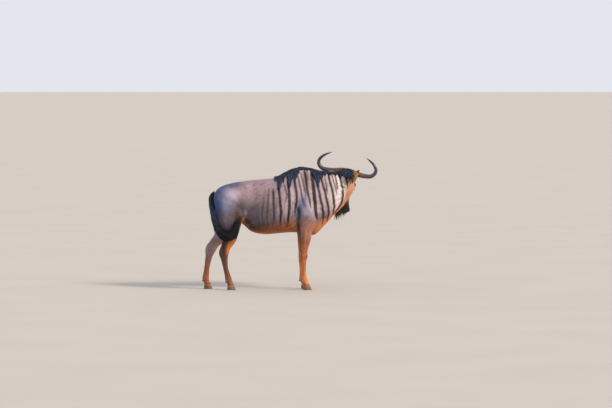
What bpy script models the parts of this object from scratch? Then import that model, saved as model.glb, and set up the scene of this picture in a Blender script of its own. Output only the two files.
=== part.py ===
"""A blue wildebeest bull standing square on, its head turned away over its left shoulder.

Life size, in metres. +X runs from tail to chest, +Y to the animal's left, +Z up, floor at zero.
The flesh is modelled whole, fused and relaxed, then parted with thin cuts into named nodes.
"""

import math
import random

import bmesh
import bpy
import numpy as np
from mathutils import Matrix, Vector
from mathutils.bvhtree import BVHTree

# Driving dimensions of the whole animal.
SEAM = 0.0003  # gap left between neighbouring nodes
HAIR_GAP = 0.0016  # how far thin strands are kept off the next node's strands
HEAD_LENGTH = 0.50  # poll to the end of the muzzle
HEAD_HEADING = 80.0  # degrees, turned from +X towards +Y
HEAD_PITCH = 62.0  # degrees, the face slopes down from level
HEAD_ROLL = 9.5  # degrees, the right horn dips
POLL = Vector((0.668, 0.165, 1.335))
EYE_RADIUS = 0.0235
BODY_TRIANGLES = 4000
SKULL_TRIANGLES = 1050
HORN_SPREAD = 0.335  # middle of the head to the widest point of one horn
HOOF_HEIGHT = 0.058
HOOF_SIZE = 0.0385  # the breadth of one claw, which its other sizes follow
HOOF_SIDES = 12
TOE = 1.66  # reach of the toe at the ground, in hoof sizes
TOE_SLOPE = 0.76  # how much of that reach is lost up the wall

# Finishes, as linear colours with roughness.
COAT_GREY = ((0.150, 0.118, 0.105), 0.62)
COAT_TAN = ((0.270, 0.130, 0.060), 0.66)
FACE_DARK = ((0.030, 0.024, 0.022), 0.60)
HAIR_BLACK = ((0.012, 0.012, 0.015), 0.55)
HORN_GREY = ((0.060, 0.052, 0.048), 0.42)
HOOF_DARK = ((0.028, 0.024, 0.022), 0.45)
EYE_DARK = ((0.012, 0.008, 0.006), 0.06)
EAR_BROWN = ((0.190, 0.110, 0.065), 0.70)

# Stations of the trunk from rump to poll: the back line (x, z), the belly or throat line (x, z),
# half width, height of the widest place (0 belly, 1 back), heading in degrees, and y.
TRUNK = (
    ("rump end", -0.876, 1.090, -0.874, 0.930, 0.066, 0.50, 0, 0.000),
    ("tail head", -0.835, 1.153, -0.850, 0.840, 0.150, 0.50, 0, 0.000),
    ("pin bones", -0.765, 1.196, -0.780, 0.800, 0.192, 0.55, 0, 0.000),
    ("croup", -0.650, 1.228, -0.660, 0.790, 0.212, 0.58, 0, 0.000),
    ("hip", -0.540, 1.245, -0.550, 0.755, 0.208, 0.55, 0, 0.000),
    ("loin", -0.420, 1.259, -0.440, 0.664, 0.208, 0.48, 0, 0.000),
    ("last rib", -0.280, 1.272, -0.290, 0.634, 0.226, 0.44, 0, 0.000),
    ("barrel", -0.140, 1.290, -0.130, 0.645, 0.230, 0.45, 0, 0.000),
    ("girth", -0.010, 1.350, 0.020, 0.656, 0.214, 0.45, 0, 0.000),
    ("withers", 0.112, 1.390, 0.150, 0.645, 0.196, 0.42, 0, 0.000),
    ("shoulder", 0.230, 1.380, 0.280, 0.628, 0.180, 0.40, 0, 0.000),
    ("neck root", 0.335, 1.352, 0.392, 0.732, 0.152, 0.42, 8, 0.004),
    ("mid neck", 0.440, 1.336, 0.495, 0.850, 0.124, 0.46, 22, 0.026),
    ("upper neck", 0.535, 1.332, 0.580, 0.935, 0.104, 0.50, 40, 0.068),
    ("throat", 0.605, 1.330, 0.622, 1.000, 0.092, 0.52, 56, 0.112),
    ("nape end", 0.650, 1.312, 0.648, 1.080, 0.070, 0.52, 66, 0.150),
)

# Stations of each leg: x, y outwards, z, then half sizes forwards, backwards and sideways.
FRONT_LEG = (
    ("blade top", 0.085, 0.100, 1.230, 0.070, 0.070, 0.040),
    ("blade", 0.120, 0.128, 1.080, 0.110, 0.105, 0.066),
    ("shoulder point", 0.175, 0.142, 0.900, 0.135, 0.120, 0.072),
    ("upper arm", 0.180, 0.146, 0.780, 0.118, 0.108, 0.066),
    ("elbow", 0.174, 0.146, 0.690, 0.088, 0.078, 0.056),
    ("forearm", 0.172, 0.142, 0.595, 0.070, 0.063, 0.047),
    ("low forearm", 0.163, 0.136, 0.500, 0.052, 0.049, 0.038),
    ("above knee", 0.160, 0.131, 0.432, 0.042, 0.039, 0.034),
    ("knee", 0.161, 0.128, 0.385, 0.043, 0.041, 0.038),
    ("below knee", 0.158, 0.125, 0.328, 0.031, 0.035, 0.028),
    ("cannon", 0.160, 0.121, 0.245, 0.025, 0.028, 0.024),
    ("above fetlock", 0.163, 0.117, 0.165, 0.027, 0.031, 0.026),
    ("fetlock", 0.166, 0.115, 0.120, 0.035, 0.037, 0.034),
    ("pastern", 0.184, 0.114, 0.080, 0.029, 0.031, 0.032),
    ("coronet", 0.199, 0.113, 0.046, 0.035, 0.034, 0.041),
)
HIND_LEG_RIGHT = (
    ("hip joint", -0.640, 0.110, 1.120, 0.110, 0.120, 0.050),
    ("upper thigh", -0.690, 0.140, 0.980, 0.165, 0.156, 0.078),
    ("thigh", -0.712, 0.150, 0.850, 0.180, 0.150, 0.086),
    ("low thigh", -0.706, 0.152, 0.750, 0.158, 0.145, 0.078),
    ("stifle", -0.697, 0.150, 0.670, 0.120, 0.108, 0.064),
    ("gaskin", -0.700, 0.144, 0.585, 0.086, 0.072, 0.048),
    ("low gaskin", -0.734, 0.138, 0.495, 0.057, 0.058, 0.037),
    ("hock", -0.753, 0.134, 0.425, 0.055, 0.063, 0.037),
    ("below hock", -0.750, 0.131, 0.352, 0.039, 0.041, 0.030),
    ("cannon", -0.734, 0.127, 0.245, 0.029, 0.031, 0.024),
    ("above fetlock", -0.714, 0.124, 0.165, 0.033, 0.035, 0.027),
    ("fetlock", -0.702, 0.122, 0.118, 0.038, 0.041, 0.034),
    ("pastern", -0.687, 0.121, 0.080, 0.032, 0.034, 0.032),
    ("coronet", -0.672, 0.120, 0.046, 0.035, 0.034, 0.039),
)
HIND_LEG_LEFT = (
    ("hip joint", -0.640, 0.110, 1.120, 0.110, 0.120, 0.050),
    ("upper thigh", -0.692, 0.140, 0.980, 0.160, 0.160, 0.078),
    ("thigh", -0.722, 0.150, 0.855, 0.170, 0.150, 0.086),
    ("low thigh", -0.742, 0.152, 0.760, 0.150, 0.128, 0.078),
    ("stifle", -0.765, 0.150, 0.690, 0.112, 0.102, 0.064),
    ("gaskin", -0.808, 0.144, 0.605, 0.084, 0.070, 0.048),
    ("low gaskin", -0.872, 0.138, 0.525, 0.062, 0.058, 0.038),
    ("hock", -0.914, 0.134, 0.455, 0.060, 0.064, 0.037),
    ("below hock", -0.934, 0.131, 0.378, 0.042, 0.044, 0.030),
    ("cannon", -0.956, 0.127, 0.262, 0.032, 0.033, 0.024),
    ("above fetlock", -0.966, 0.124, 0.170, 0.034, 0.037, 0.027),
    ("fetlock", -0.972, 0.122, 0.120, 0.038, 0.041, 0.034),
    ("pastern", -0.961, 0.121, 0.080, 0.032, 0.034, 0.032),
    ("coronet", -0.946, 0.120, 0.046, 0.036, 0.035, 0.039),
)
FAR_FRONT_SHIFT = -0.024  # the left front leg stands this much further back
# Heights at which the lower legs begin.
KNEE_CUT, HOCK_CUT_RIGHT, HOCK_CUT_LEFT = 0.345, 0.370, 0.395
NECK_CUT = ((0.3635, 0, 1.035), (0.9956, 0, 0.094))  # a place on the cut before the shoulder, its direction
SHOULDER_DEPTH = 0.072  # how far from the middle the shoulder plates begin
THIGH_DEPTH = 0.052


def clear_scene():
    for obj in list(bpy.data.objects):
        bpy.data.objects.remove(obj)


def finish_material(name, finish):
    """One Principled material for each finish, shared by the nodes that wear it."""
    material = bpy.data.materials.get(name)
    if material is None:
        colour, roughness = finish
        material = bpy.data.materials.new(name)
        material.use_nodes = True
        shader = material.node_tree.nodes["Principled BSDF"]
        shader.inputs["Base Color"].default_value = (*colour, 1.0)
        shader.inputs["Roughness"].default_value = roughness
        material.diffuse_color = (*colour, 1.0)
    return material


def mesh_object(name, points, faces):
    mesh = bpy.data.meshes.new(name)
    mesh.from_pydata([tuple(p) for p in points], [], faces)
    mesh.update()
    obj = bpy.data.objects.new(name, mesh)
    bpy.context.scene.collection.objects.link(obj)
    return obj


def through(stations, count):
    """Rows of numbers read at even steps from a smooth curve through the station rows."""
    rows = np.array(stations, float)
    rows = np.vstack([2 * rows[0] - rows[1], rows, 2 * rows[-1] - rows[-2]])
    result = []
    for place in np.linspace(0, len(stations) - 1, count):
        i = min(int(place), len(stations) - 2)
        t = place - i
        a, b, c, d = rows[i : i + 4]
        square, cube = 2 * a - 5 * b + 4 * c - d, 3 * b - a - 3 * c + d
        result.append(0.5 * (2 * b + (c - a) * t + square * t**2 + cube * t**3))
    return result


def loft(name, rings):
    """A closed body over rings of equal length, its two ends closed round their centres."""
    sides = len(rings[0])
    points = [p for ring in rings for p in ring]
    faces = []
    for row in range(len(rings) - 1):
        for k in range(sides):
            a, b = row * sides + k, row * sides + (k + 1) % sides
            faces.append((a, b, b + sides, a + sides))
    for row, turned in ((0, True), (len(rings) - 1, False)):
        centre = len(points)
        points.append(sum(rings[row], Vector()) / sides)
        for k in range(sides):
            a, b = row * sides + k, row * sides + (k + 1) % sides
            faces.append((b, a, centre) if turned else (a, b, centre))
    obj = mesh_object(name, points, faces)
    face_out(obj)
    return obj


def face_out(obj):
    """Turns all faces of a closed mesh outwards."""
    shape = bmesh.new()
    shape.from_mesh(obj.data)
    bmesh.ops.recalc_face_normals(shape, faces=shape.faces)
    if shape.calc_volume(signed=True) < 0:
        bmesh.ops.reverse_faces(shape, faces=shape.faces)
    shape.to_mesh(obj.data)
    shape.free()


def settle(obj):
    """Applies the object's modifiers."""
    bpy.context.view_layer.update()
    graph = bpy.context.evaluated_depsgraph_get()
    mesh = bpy.data.meshes.new_from_object(obj.evaluated_get(graph), depsgraph=graph)
    obj.modifiers.clear()
    obj.data = mesh
    return obj


def combine(obj, other, operation, solver="MANIFOLD"):
    """One Boolean of two closed meshes, applied. The other mesh stays."""
    step = obj.modifiers.new("combine", "BOOLEAN")
    step.operation = operation
    step.solver = solver
    step.object = other
    return settle(obj)


def remove(*objects):
    for obj in objects:
        bpy.data.objects.remove(obj)


def fuse(name, pieces):
    """Joins closed pieces into one body and removes them."""
    first, rest = pieces[0], pieces[1:]
    if rest:
        group = bpy.data.collections.new(name + "_pieces")
        for piece in rest:
            group.objects.link(piece)
        step = first.modifiers.new("fuse", "BOOLEAN")
        step.operation = "UNION"
        step.solver = "MANIFOLD"
        step.operand_type = "COLLECTION"
        step.collection = group
        settle(first)
        remove(*rest)
        bpy.data.collections.remove(group)
    first.name = name
    return first


def copy_of(obj, name):
    twin = bpy.data.objects.new(name, obj.data.copy())
    bpy.context.scene.collection.objects.link(twin)
    return twin


def swollen(obj, amount=1.6 * SEAM):
    """A copy whose surface stands out by a seam's width, for cutting a neighbour."""
    twin = copy_of(obj, obj.name + "_swollen")
    mesh = twin.data
    count = len(mesh.vertices)
    points = np.empty(count * 3)
    normals = np.empty(count * 3)
    mesh.vertices.foreach_get("co", points)
    mesh.vertices.foreach_get("normal", normals)
    mesh.vertices.foreach_set("co", points + normals * amount)
    mesh.update()
    return twin


def keep_largest(obj):
    """Keeps only the largest closed surface of a cut body, walking from face to face over edges."""
    shape = bmesh.new()
    shape.from_mesh(obj.data)
    seen, islands = set(), []
    for start in shape.faces:
        if start in seen:
            continue
        island, front = [], [start]
        seen.add(start)
        while front:
            face = front.pop()
            island.append(face)
            for edge in face.edges:
                for other in edge.link_faces:
                    if other not in seen:
                        seen.add(other)
                        front.append(other)
        islands.append(island)

    def reach(island):
        points = [vert.co for face in island for vert in face.verts]
        return sum(max(p[k] for p in points) - min(p[k] for p in points) for k in range(3))

    islands.sort(key=reach, reverse=True)
    for island in islands[1:]:
        bmesh.ops.delete(shape, geom=island, context="FACES")
    shape.to_mesh(obj.data)
    shape.free()
    return obj


def guarded(name, pieces):
    """Joins strands into one body, and joins swollen copies of them for cutting the next node."""
    guard = fuse(name + "_guard", [swollen(piece, HAIR_GAP) for piece in pieces])
    return fuse(name, pieces), guard


def cut_away(obj, *others):
    """Takes the neighbours' swollen shapes out of a body, so that it meets them face to face."""
    for other in others:
        cutter = swollen(other)
        combine(obj, cutter, "DIFFERENCE")
        remove(cutter)
    return keep_largest(obj)


def span(obj):
    """The lowest and highest corner of a body's box."""
    points = np.empty(len(obj.data.vertices) * 3)
    obj.data.vertices.foreach_get("co", points)
    points = points.reshape(-1, 3)
    return points.min(axis=0), points.max(axis=0)


def boxes_meet(obj, other):
    low, high = span(obj)
    other_low, other_high = span(other)
    return bool(np.all(low < other_high + SEAM) and np.all(other_low < high + SEAM))


def smooth_part(value, low, high):
    t = min(max((value - low) / (high - low), 0.0), 1.0)
    return t * t * (3 - 2 * t)


def oval(centre, out, up, half_out, half_up, half_down, sides, power=2.0):
    """A closed ring with its own reach upwards and downwards from its widest place."""
    ring = []
    for k in range(sides):
        angle = 2 * math.pi * k / sides
        c, s = math.cos(angle), math.sin(angle)
        across = math.copysign(abs(c) ** (2 / power), c)
        along = math.copysign(abs(s) ** (2 / power), s)
        ring.append(centre + out * half_out * across + up * along * (half_up if s > 0 else half_down))
    return ring


def trunk_ring(row, sides):
    back_x, back_z, belly_x, belly_z, half_width, widest, heading, y = row
    turn = math.radians(heading)
    back, belly = Vector((back_x, y, back_z)), Vector((belly_x, y, belly_z))
    up = back - belly
    out = Vector((-math.sin(turn), math.cos(turn), 0.0))
    centre = belly + up * widest
    height = up.length
    up.normalize()
    return oval(centre, out, up, half_width, height * (1 - widest), height * widest, sides, 2.15)


def trunk():
    rows = through([station[1:] for station in TRUNK], 64)
    return loft("trunk", [trunk_ring(row, 36) for row in rows])


def leg(name, stations, side, shift=0.0):
    """A limb as rings square to its own line, flattened where the muscle lies on the body."""
    rows = through([station[1:] for station in stations], 46)
    centres = [Vector((row[0] + shift, side * row[1], row[2])) for row in rows]
    rings = []
    for i, row in enumerate(rows):
        along = centres[min(i + 1, len(rows) - 1)] - centres[max(i - 1, 0)]
        along = Vector((along.x, 0.0, along.z)).normalized()
        fore = Vector((-along.z, 0.0, along.x))
        if fore.x < 0:
            fore.negate()
        rings.append(oval(centres[i], Vector((0, side, 0)), fore, row[5], row[3], row[4], 24, 2.1))
    return loft(name, rings)


def relax(obj, voxel, rounds, low, high):
    """Remeshes the fused lofts and lets their joins flow, more so above the lower legs."""
    step = obj.modifiers.new("remesh", "REMESH")
    step.mode = "VOXEL"
    step.voxel_size = voxel
    settle(obj)
    mesh = obj.data
    points = np.empty(len(mesh.vertices) * 3)
    mesh.vertices.foreach_get("co", points)
    points = points.reshape(-1, 3)
    ends = np.empty(len(mesh.edges) * 2, np.int64)
    mesh.edges.foreach_get("vertices", ends)
    a, b = ends.reshape(-1, 2).T
    count = np.bincount(a, minlength=len(points)) + np.bincount(b, minlength=len(points))
    share = np.clip((points[:, 2] - low) / (high - low), 0, 1)[:, None]
    for _ in range(rounds):
        total = np.zeros_like(points)
        np.add.at(total, a, points[b])
        np.add.at(total, b, points[a])
        points += 0.5 * share * (total / count[:, None] - points)
    mesh.vertices.foreach_set("co", points.ravel())
    mesh.update()
    return obj


def thin_out(obj, triangles):
    """Keeps about this many triangles, most where the form bends most."""
    obj.modifiers.new("triangles", "TRIANGULATE")
    settle(obj)
    step = obj.modifiers.new("fewer", "DECIMATE")
    step.ratio = triangles / len(obj.data.polygons)
    return settle(obj)


def flesh():
    """Trunk and legs as one relaxed body."""
    limbs = [
        leg("front_right", FRONT_LEG, -1),
        leg("front_left", FRONT_LEG, 1, FAR_FRONT_SHIFT),
        leg("hind_right", HIND_LEG_RIGHT, -1),
        leg("hind_left", HIND_LEG_LEFT, 1),
    ]
    body = fuse("flesh", [trunk(), *limbs])
    relax(body, voxel=0.0105, rounds=14, low=0.50, high=0.72)
    return thin_out(body, BODY_TRIANGLES)


# The head, in its own axes: a runs from the poll along the face, b to the left, c out of the forehead.
# Stations of the skull and upper lip: a, c of the face line, c of the lower line, half width, widest.
FACE = (
    ("neck side", -0.075, -0.030, -0.180, 0.062, 0.60),
    ("occiput", -0.035, -0.004, -0.192, 0.082, 0.62),
    ("horn base", 0.015, 0.010, -0.196, 0.090, 0.64),
    ("forehead", 0.070, 0.010, -0.200, 0.092, 0.66),
    ("brow", 0.125, 0.006, -0.198, 0.090, 0.70),
    ("below eyes", 0.180, 0.002, -0.180, 0.078, 0.68),
    ("cheek", 0.240, -0.002, -0.150, 0.060, 0.62),
    ("bridge", 0.300, -0.005, -0.118, 0.050, 0.58),
    ("nose", 0.355, -0.008, -0.096, 0.049, 0.54),
    ("nostrils", 0.410, -0.013, -0.084, 0.058, 0.50),
    ("muzzle", 0.448, -0.022, -0.080, 0.058, 0.48),
    ("muzzle end", 0.470, -0.038, -0.072, 0.036, 0.45),
)
# Stations of the lower jaw and lower lip.
JAW = (
    ("jaw angle", 0.070, -0.110, -0.192, 0.050, 0.50),
    ("jowl", 0.130, -0.100, -0.204, 0.052, 0.50),
    ("branch", 0.200, -0.090, -0.178, 0.046, 0.50),
    ("bars", 0.280, -0.076, -0.140, 0.036, 0.55),
    ("chin groove", 0.350, -0.070, -0.116, 0.034, 0.60),
    ("chin", 0.400, -0.066, -0.114, 0.042, 0.62),
    ("lower lip", 0.440, -0.066, -0.106, 0.040, 0.62),
    ("lip end", 0.458, -0.070, -0.092, 0.022, 0.60),
)
EYE_PLACE = (0.148, 0.085, -0.046)  # centre of the left eyeball
EYE_FACETS = (14, 9)
EAR_ROOT = (0.030, 0.094, -0.070)
EAR_LENGTH = 0.190
NOSTRIL_PLACE = (0.442, 0.040, -0.036)
MOUTH_CORNER = 0.372
MOUTH_LINE = -0.080
MOUTH_SLIT = 0.0024


def head_frame():
    """The head's axes in the animal's frame, as a matrix whose origin is the poll."""
    heading, pitch = math.radians(HEAD_HEADING), math.radians(HEAD_PITCH)
    level = Vector((math.cos(heading), math.sin(heading), 0))
    roll = Matrix.Rotation(math.radians(HEAD_ROLL), 3, level)
    left = roll @ Vector((-math.sin(heading), math.cos(heading), 0))
    rise = roll @ Vector((0, 0, 1))
    along = level * math.cos(pitch) - rise * math.sin(pitch)
    out = level * math.sin(pitch) + rise * math.cos(pitch)
    stretch = HEAD_LENGTH / FACE[-1][1]
    frame = Matrix((along * stretch, left, out)).transposed().to_4x4()
    frame.translation = POLL
    return frame


HEAD = head_frame()


def on_head(a, b, c):
    return HEAD @ Vector((a, b, c))


def along_head(a, b, c):
    """A direction given in the head's axes."""
    return (HEAD.to_3x3() @ Vector((a, b, c))).normalized()


def skull_swell(a, b, c):
    """How far the face stands out at brow ridge, cheekbone and nostril rim."""
    side = abs(b)
    brow = 0.026 * math.exp(-(((a - 0.118) / 0.030) ** 2) - ((c + 0.022) / 0.022) ** 2)
    orbit = 0.013 * math.exp(-(((a - 0.150) / 0.034) ** 2) - ((c + 0.050) / 0.034) ** 2)
    cheekbone = 0.008 * math.exp(-(((a - 0.215) / 0.040) ** 2) - ((c + 0.070) / 0.018) ** 2)
    rim = 0.007 * math.exp(-(((a - 0.438) / 0.020) ** 2) - ((c + 0.036) / 0.024) ** 2)
    return (brow + orbit + cheekbone + rim) * min(side / 0.03, 1.0)


def head_loft(name, stations, count, sides, power, swell=False):
    rings = []
    for a, top, bottom, half_width, widest in through([s[1:] for s in stations], count):
        centre = Vector((a, 0, bottom + (top - bottom) * widest))
        above, below = top - centre.z, centre.z - bottom
        ring = oval(centre, Vector((0, 1, 0)), Vector((0, 0, 1)), half_width, above, below, sides, power)
        if swell:
            for p in ring:
                p.y += math.copysign(skull_swell(*p), p.y)
        rings.append([HEAD @ p for p in ring])
    return loft(name, rings)


def eye_centre(side):
    a, b, c = EYE_PLACE
    return on_head(a, side * b, c)


def ball(name, centre, radius, across, up):
    shape = bmesh.new()
    bmesh.ops.create_uvsphere(shape, u_segments=across, v_segments=up, radius=radius)
    mesh = bpy.data.meshes.new(name)
    shape.to_mesh(mesh)
    shape.free()
    mesh.transform(Matrix.Translation(centre))
    obj = bpy.data.objects.new(name, mesh)
    bpy.context.scene.collection.objects.link(obj)
    return obj


def eyelids(side):
    """A rolled rim round the almond opening, lying on the eyeball."""
    centre = Vector(EYE_PLACE)
    centre.y *= side
    look = Vector((0.10, side, 0.12)).normalized()
    fore = Vector((1, 0, -0.25)).normalized()
    fore = (fore - look * fore.dot(look)).normalized()
    rise = look.cross(fore)
    if rise.z < 0:
        rise.negate()
    steps, rings = 14, []
    for k in range(steps):
        angle = 2 * math.pi * k / steps
        x = 0.0225 * math.cos(angle)
        y = (0.0125 if math.sin(angle) > 0 else 0.0105) * math.sin(angle)
        outward = (fore * math.cos(angle) + rise * math.sin(angle)).normalized()
        depth = math.sqrt(max(EYE_RADIUS**2 - x * x - y * y, 0))
        edge = centre + fore * x + rise * y + look * depth
        thick = 0.0050 if math.sin(angle) > 0 else 0.0040
        profile = (
            (-0.001, -0.004),
            (-0.001, 0.0016),
            (thick, 0.0020),
            (2.6 * thick, -0.004),
            (2.2 * thick, -0.012),
        )
        rings.append([HEAD @ (edge + outward * p + look * q) for p, q in profile])
    sides = len(rings[0])
    points = [p for ring in rings for p in ring]
    faces = []
    for i in range(steps):
        for k in range(sides):
            a, b = i * sides + k, i * sides + (k + 1) % sides
            c, d = (i + 1) % steps * sides + (k + 1) % sides, (i + 1) % steps * sides + k
            faces.append((a, b, c, d))
    obj = mesh_object("lids", points, faces)
    face_out(obj)
    return obj


def nostril(side):
    """A comma-shaped hollow, opening forwards and outwards."""
    a, b, c = NOSTRIL_PLACE
    fore = Vector((0.80, -0.60 * side, 0)).normalized()
    rise = Vector((0.25, 0, 1)).normalized()
    rings = []
    for t in (0.0, 0.33, 0.66, 1.0):
        wide, tall = 0.0035 + 0.0050 * t, 0.0090 + 0.0060 * t
        centre = Vector((a - 0.012 + 0.020 * t, side * (b - 0.010 + 0.034 * t), c - 0.004 * t))
        rings.append([HEAD @ p for p in oval(centre, fore, rise, wide, tall, tall * 0.8, 10)])
    return loft("nostril", rings)


def mouth_cutter():
    """A thin horseshoe that leaves the line of the mouth along both lips."""
    outer = ((MOUTH_CORNER, -0.085), (0.50, -0.085), (0.50, 0.085), (MOUTH_CORNER, 0.085))
    half = ((MOUTH_CORNER, 0.044), (0.430, 0.040), (0.442, 0.024))
    plan = outer + half + tuple((a, -b) for a, b in reversed(half))
    count = len(plan)

    def lip(a):
        """The mouth line dips towards its corner."""
        return MOUTH_LINE - 0.006 * smooth_part(0.43 - a, 0.0, 0.05)

    points = [on_head(a, b, lip(a) + MOUTH_SLIT / 2) for a, b in plan]
    points += [on_head(a, b, lip(a) - MOUTH_SLIT / 2) for a, b in plan]
    faces = [tuple(range(count)), tuple(reversed(range(count, 2 * count)))]
    for k in range(count):
        a, b = k, (k + 1) % count
        faces.append((b, a, a + count, b + count))
    obj = mesh_object("mouth", points, faces)
    step = obj.modifiers.new("triangles", "TRIANGULATE")
    step.min_vertices = 4
    settle(obj)
    face_out(obj)
    return obj


def skull():
    """The whole head without ears, eyes and horns."""
    face = head_loft("face", FACE, 44, 36, 2.35, swell=True)
    jaw = head_loft("jaw", JAW, 22, 18, 2.2)
    head = thin_out(fuse("skull", [face, jaw]), SKULL_TRIANGLES)
    head = fuse("skull", [head, eyelids(1), eyelids(-1)])
    for side in (1, -1):
        eye = ball("socket", eye_centre(side), EYE_RADIUS, *EYE_FACETS)
        for cutter in (nostril(side), swollen(eye)):
            combine(head, cutter, "DIFFERENCE")
            remove(cutter)
        remove(eye)
    slit = mouth_cutter()
    combine(head, slit, "DIFFERENCE")
    remove(slit)
    return keep_largest(head)


# Stations of a horn: outwards from the middle, forwards and upwards of the poll as the head is
# held, then half sizes across and along the face.
HORN = (
    ("boss", 0.016, 0.032, 0.007, 0.040, 0.048),
    ("root", 0.050, 0.046, 0.010, 0.038, 0.047),
    ("beam", 0.105, 0.056, 0.003, 0.033, 0.038),
    ("low beam", 0.165, 0.060, -0.005, 0.0290, 0.0310),
    ("turn", 0.225, 0.062, -0.007, 0.0265, 0.0270),
    ("low bend", 0.288, 0.062, 0.002, 0.0240, 0.0240),
    ("bend", 0.329, 0.060, 0.041, 0.0215, 0.0215),
    ("rise", 0.334, 0.056, 0.090, 0.0185, 0.0185),
    ("high bend", 0.304, 0.052, 0.137, 0.0155, 0.0155),
    ("spike", 0.256, 0.052, 0.174, 0.0108, 0.0108),
    ("tip", 0.203, 0.056, 0.202, 0.0022, 0.0022),
)
HORN_SHIFT = 0.030  # the horns stand to the left of the poll as it is drawn
HORN_PARTING = 0.008  # half the gap between the two bosses


def horn(name, side):
    """A tapering tube, ringed with growth ridges near its root."""
    heading = math.radians(HEAD_HEADING)
    level = Vector((math.cos(heading), math.sin(heading), 0))
    roll = Matrix.Rotation(math.radians(HEAD_ROLL), 3, level)
    left = roll @ Vector((-math.sin(heading), math.cos(heading), 0))
    rise = roll @ Vector((0, 0, 1))
    rows = through([s[1:] for s in HORN], 24)
    spread = HORN_SPREAD / 0.333
    middle = POLL + left * HORN_SHIFT
    centres = [middle + left * side * row[0] * spread + level * row[1] + rise * row[2] for row in rows]
    rings = []
    for i, row in enumerate(rows):
        along = (centres[min(i + 1, len(rows) - 1)] - centres[max(i - 1, 0)]).normalized()
        across = level.cross(along).normalized()
        fore = along.cross(across).normalized()
        ridge = 1 + 0.05 * math.sin(i * 2.1) * (1 - smooth_part(i, 5, 13))
        rings.append(oval(centres[i], across, fore, row[3] * ridge, row[4] * ridge, row[4] * ridge, 9))
    obj = loft(name, rings)
    block = half_space("block", on_head(0, HORN_SHIFT + side * HORN_PARTING, 0), along_head(0, side, 0))
    combine(obj, block, "INTERSECT")
    remove(block)
    return obj


def ear(name, side):
    """A leaf-shaped cup, open towards one side, as a thin crescent lofted from root to tip."""
    a, b, c = EAR_ROOT
    root = on_head(a, side * b, c)
    if side < 0:
        point = Vector((0.34, -0.60, 0.66)).normalized()
        mouth = Vector((0.55, 0.80, 0.10))
    else:
        point = Vector((-0.80, 0.38, 0.26)).normalized()
        mouth = Vector((0.10, 0.80, -0.45))
    mouth = (mouth - point * mouth.dot(point)).normalized()
    across = point.cross(mouth).normalized()
    rings = []
    steps = 10
    for i in range(steps + 1):
        t = i / steps
        half = 0.030 * (0.50 + 1.05 * math.sin(math.pi * min(t + 0.10, 1.0)) ** 0.8) * (1 - t**5) * 0.80
        half = max(half, 0.003)
        curl = math.radians(158 - 60 * t)
        wall = 0.0032 + 0.0018 * (1 - t)
        centre = root + point * EAR_LENGTH * (t - 0.10) + mouth * (-0.018 * math.sin(math.pi * t))
        radius = half / math.sin(min(curl / 2, math.pi / 2) * 0.98)
        ring = []
        for k in range(6):
            angle = -curl / 2 + curl * k / 5
            out = mouth * -math.cos(angle) + across * math.sin(angle)
            ring.append(centre + out * radius)
        for k in range(5, -1, -1):
            angle = -curl / 2 + curl * k / 5
            out = mouth * -math.cos(angle) + across * math.sin(angle)
            inner = wall * (0.35 + 0.65 * math.sin(math.pi * k / 5))
            ring.append(centre + out * max(radius - inner, radius * 0.3))
        rings.append(ring)
    return loft(name, rings)


def claw(name, x, y, outwards, size):
    """One half of a cloven hoof: flat underneath and inside, rounded outside, drawn to a toe."""
    rings = []
    for t in np.linspace(0, 1, 4):
        front = size * (TOE - TOE_SLOPE * t)
        back = size * (1.00 - 0.12 * t)
        width = size * (1.00 - 0.07 * t)
        ring = []
        for k in range(HOOF_SIDES):
            angle = 2 * math.pi * k / HOOF_SIDES
            c, s = math.cos(angle), math.sin(angle)
            fore = (front if c > 0 else back) * math.copysign(abs(c) ** 0.9, c)
            aside = max(s, 0) * width * (1 - 0.36 * max(c, 0))
            split = 0.0012 + 0.05 * max(fore, 0)
            ring.append(Vector((x + fore, y + outwards * (split + aside), HOOF_HEIGHT * t)))
        rings.append(ring)
    return loft(name, rings)


def dewclaw(name, heel, outwards):
    """A small horn cone behind the fetlock, pointing down and out."""
    point = Vector((-0.55, 0.45 * outwards, -0.75)).normalized()
    across = point.cross(Vector((0, 0, 1))).normalized()
    fore = across.cross(point)
    rings = []
    for t, wide in ((0.0, 0.0115), (0.5, 0.0105), (0.85, 0.0065), (1.0, 0.0022)):
        rings.append(oval(heel + point * 0.036 * t, across, fore, wide, wide * 0.8, wide * 0.8, 6))
    return loft(name, rings)


def prism(name, outline, near, far):
    """An upright plate between two values of y, for parting limbs from the trunk."""
    count = len(outline)
    points = [Vector((x, near, z)) for x, z in outline] + [Vector((x, far, z)) for x, z in outline]
    faces = [tuple(range(count)), tuple(reversed(range(count, 2 * count)))]
    for k in range(count):
        a, b = k, (k + 1) % count
        faces.append((b, a, a + count, b + count))
    obj = mesh_object(name, points, faces)
    obj.modifiers.new("triangles", "TRIANGULATE")
    settle(obj)
    face_out(obj)
    return obj


def half_space(name, point, normal, reach=3.0):
    """A large block whose one face lies on the plane, on the side that the normal points to."""
    normal = Vector(normal).normalized()
    shape = bmesh.new()
    bmesh.ops.create_cube(shape, size=reach)
    mesh = bpy.data.meshes.new(name)
    shape.to_mesh(mesh)
    shape.free()
    turn = normal.to_track_quat("Z", "Y").to_matrix().to_4x4()
    mesh.transform(Matrix.Translation(Vector(point) + normal * reach / 2) @ turn)
    obj = bpy.data.objects.new(name, mesh)
    bpy.context.scene.collection.objects.link(obj)
    return obj


def split(obj, name, point, normal):
    """Parts a body at a plane. The piece in front of it gets the new name and is returned."""
    normal = Vector(normal).normalized()
    front = copy_of(obj, name)
    for piece, side in ((front, 1), (obj, -1)):
        block = half_space("block", Vector(point) + normal * side * SEAM / 2, normal * side)
        combine(piece, block, "INTERSECT")
        remove(block)
        keep_largest(piece)
    return front


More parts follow.
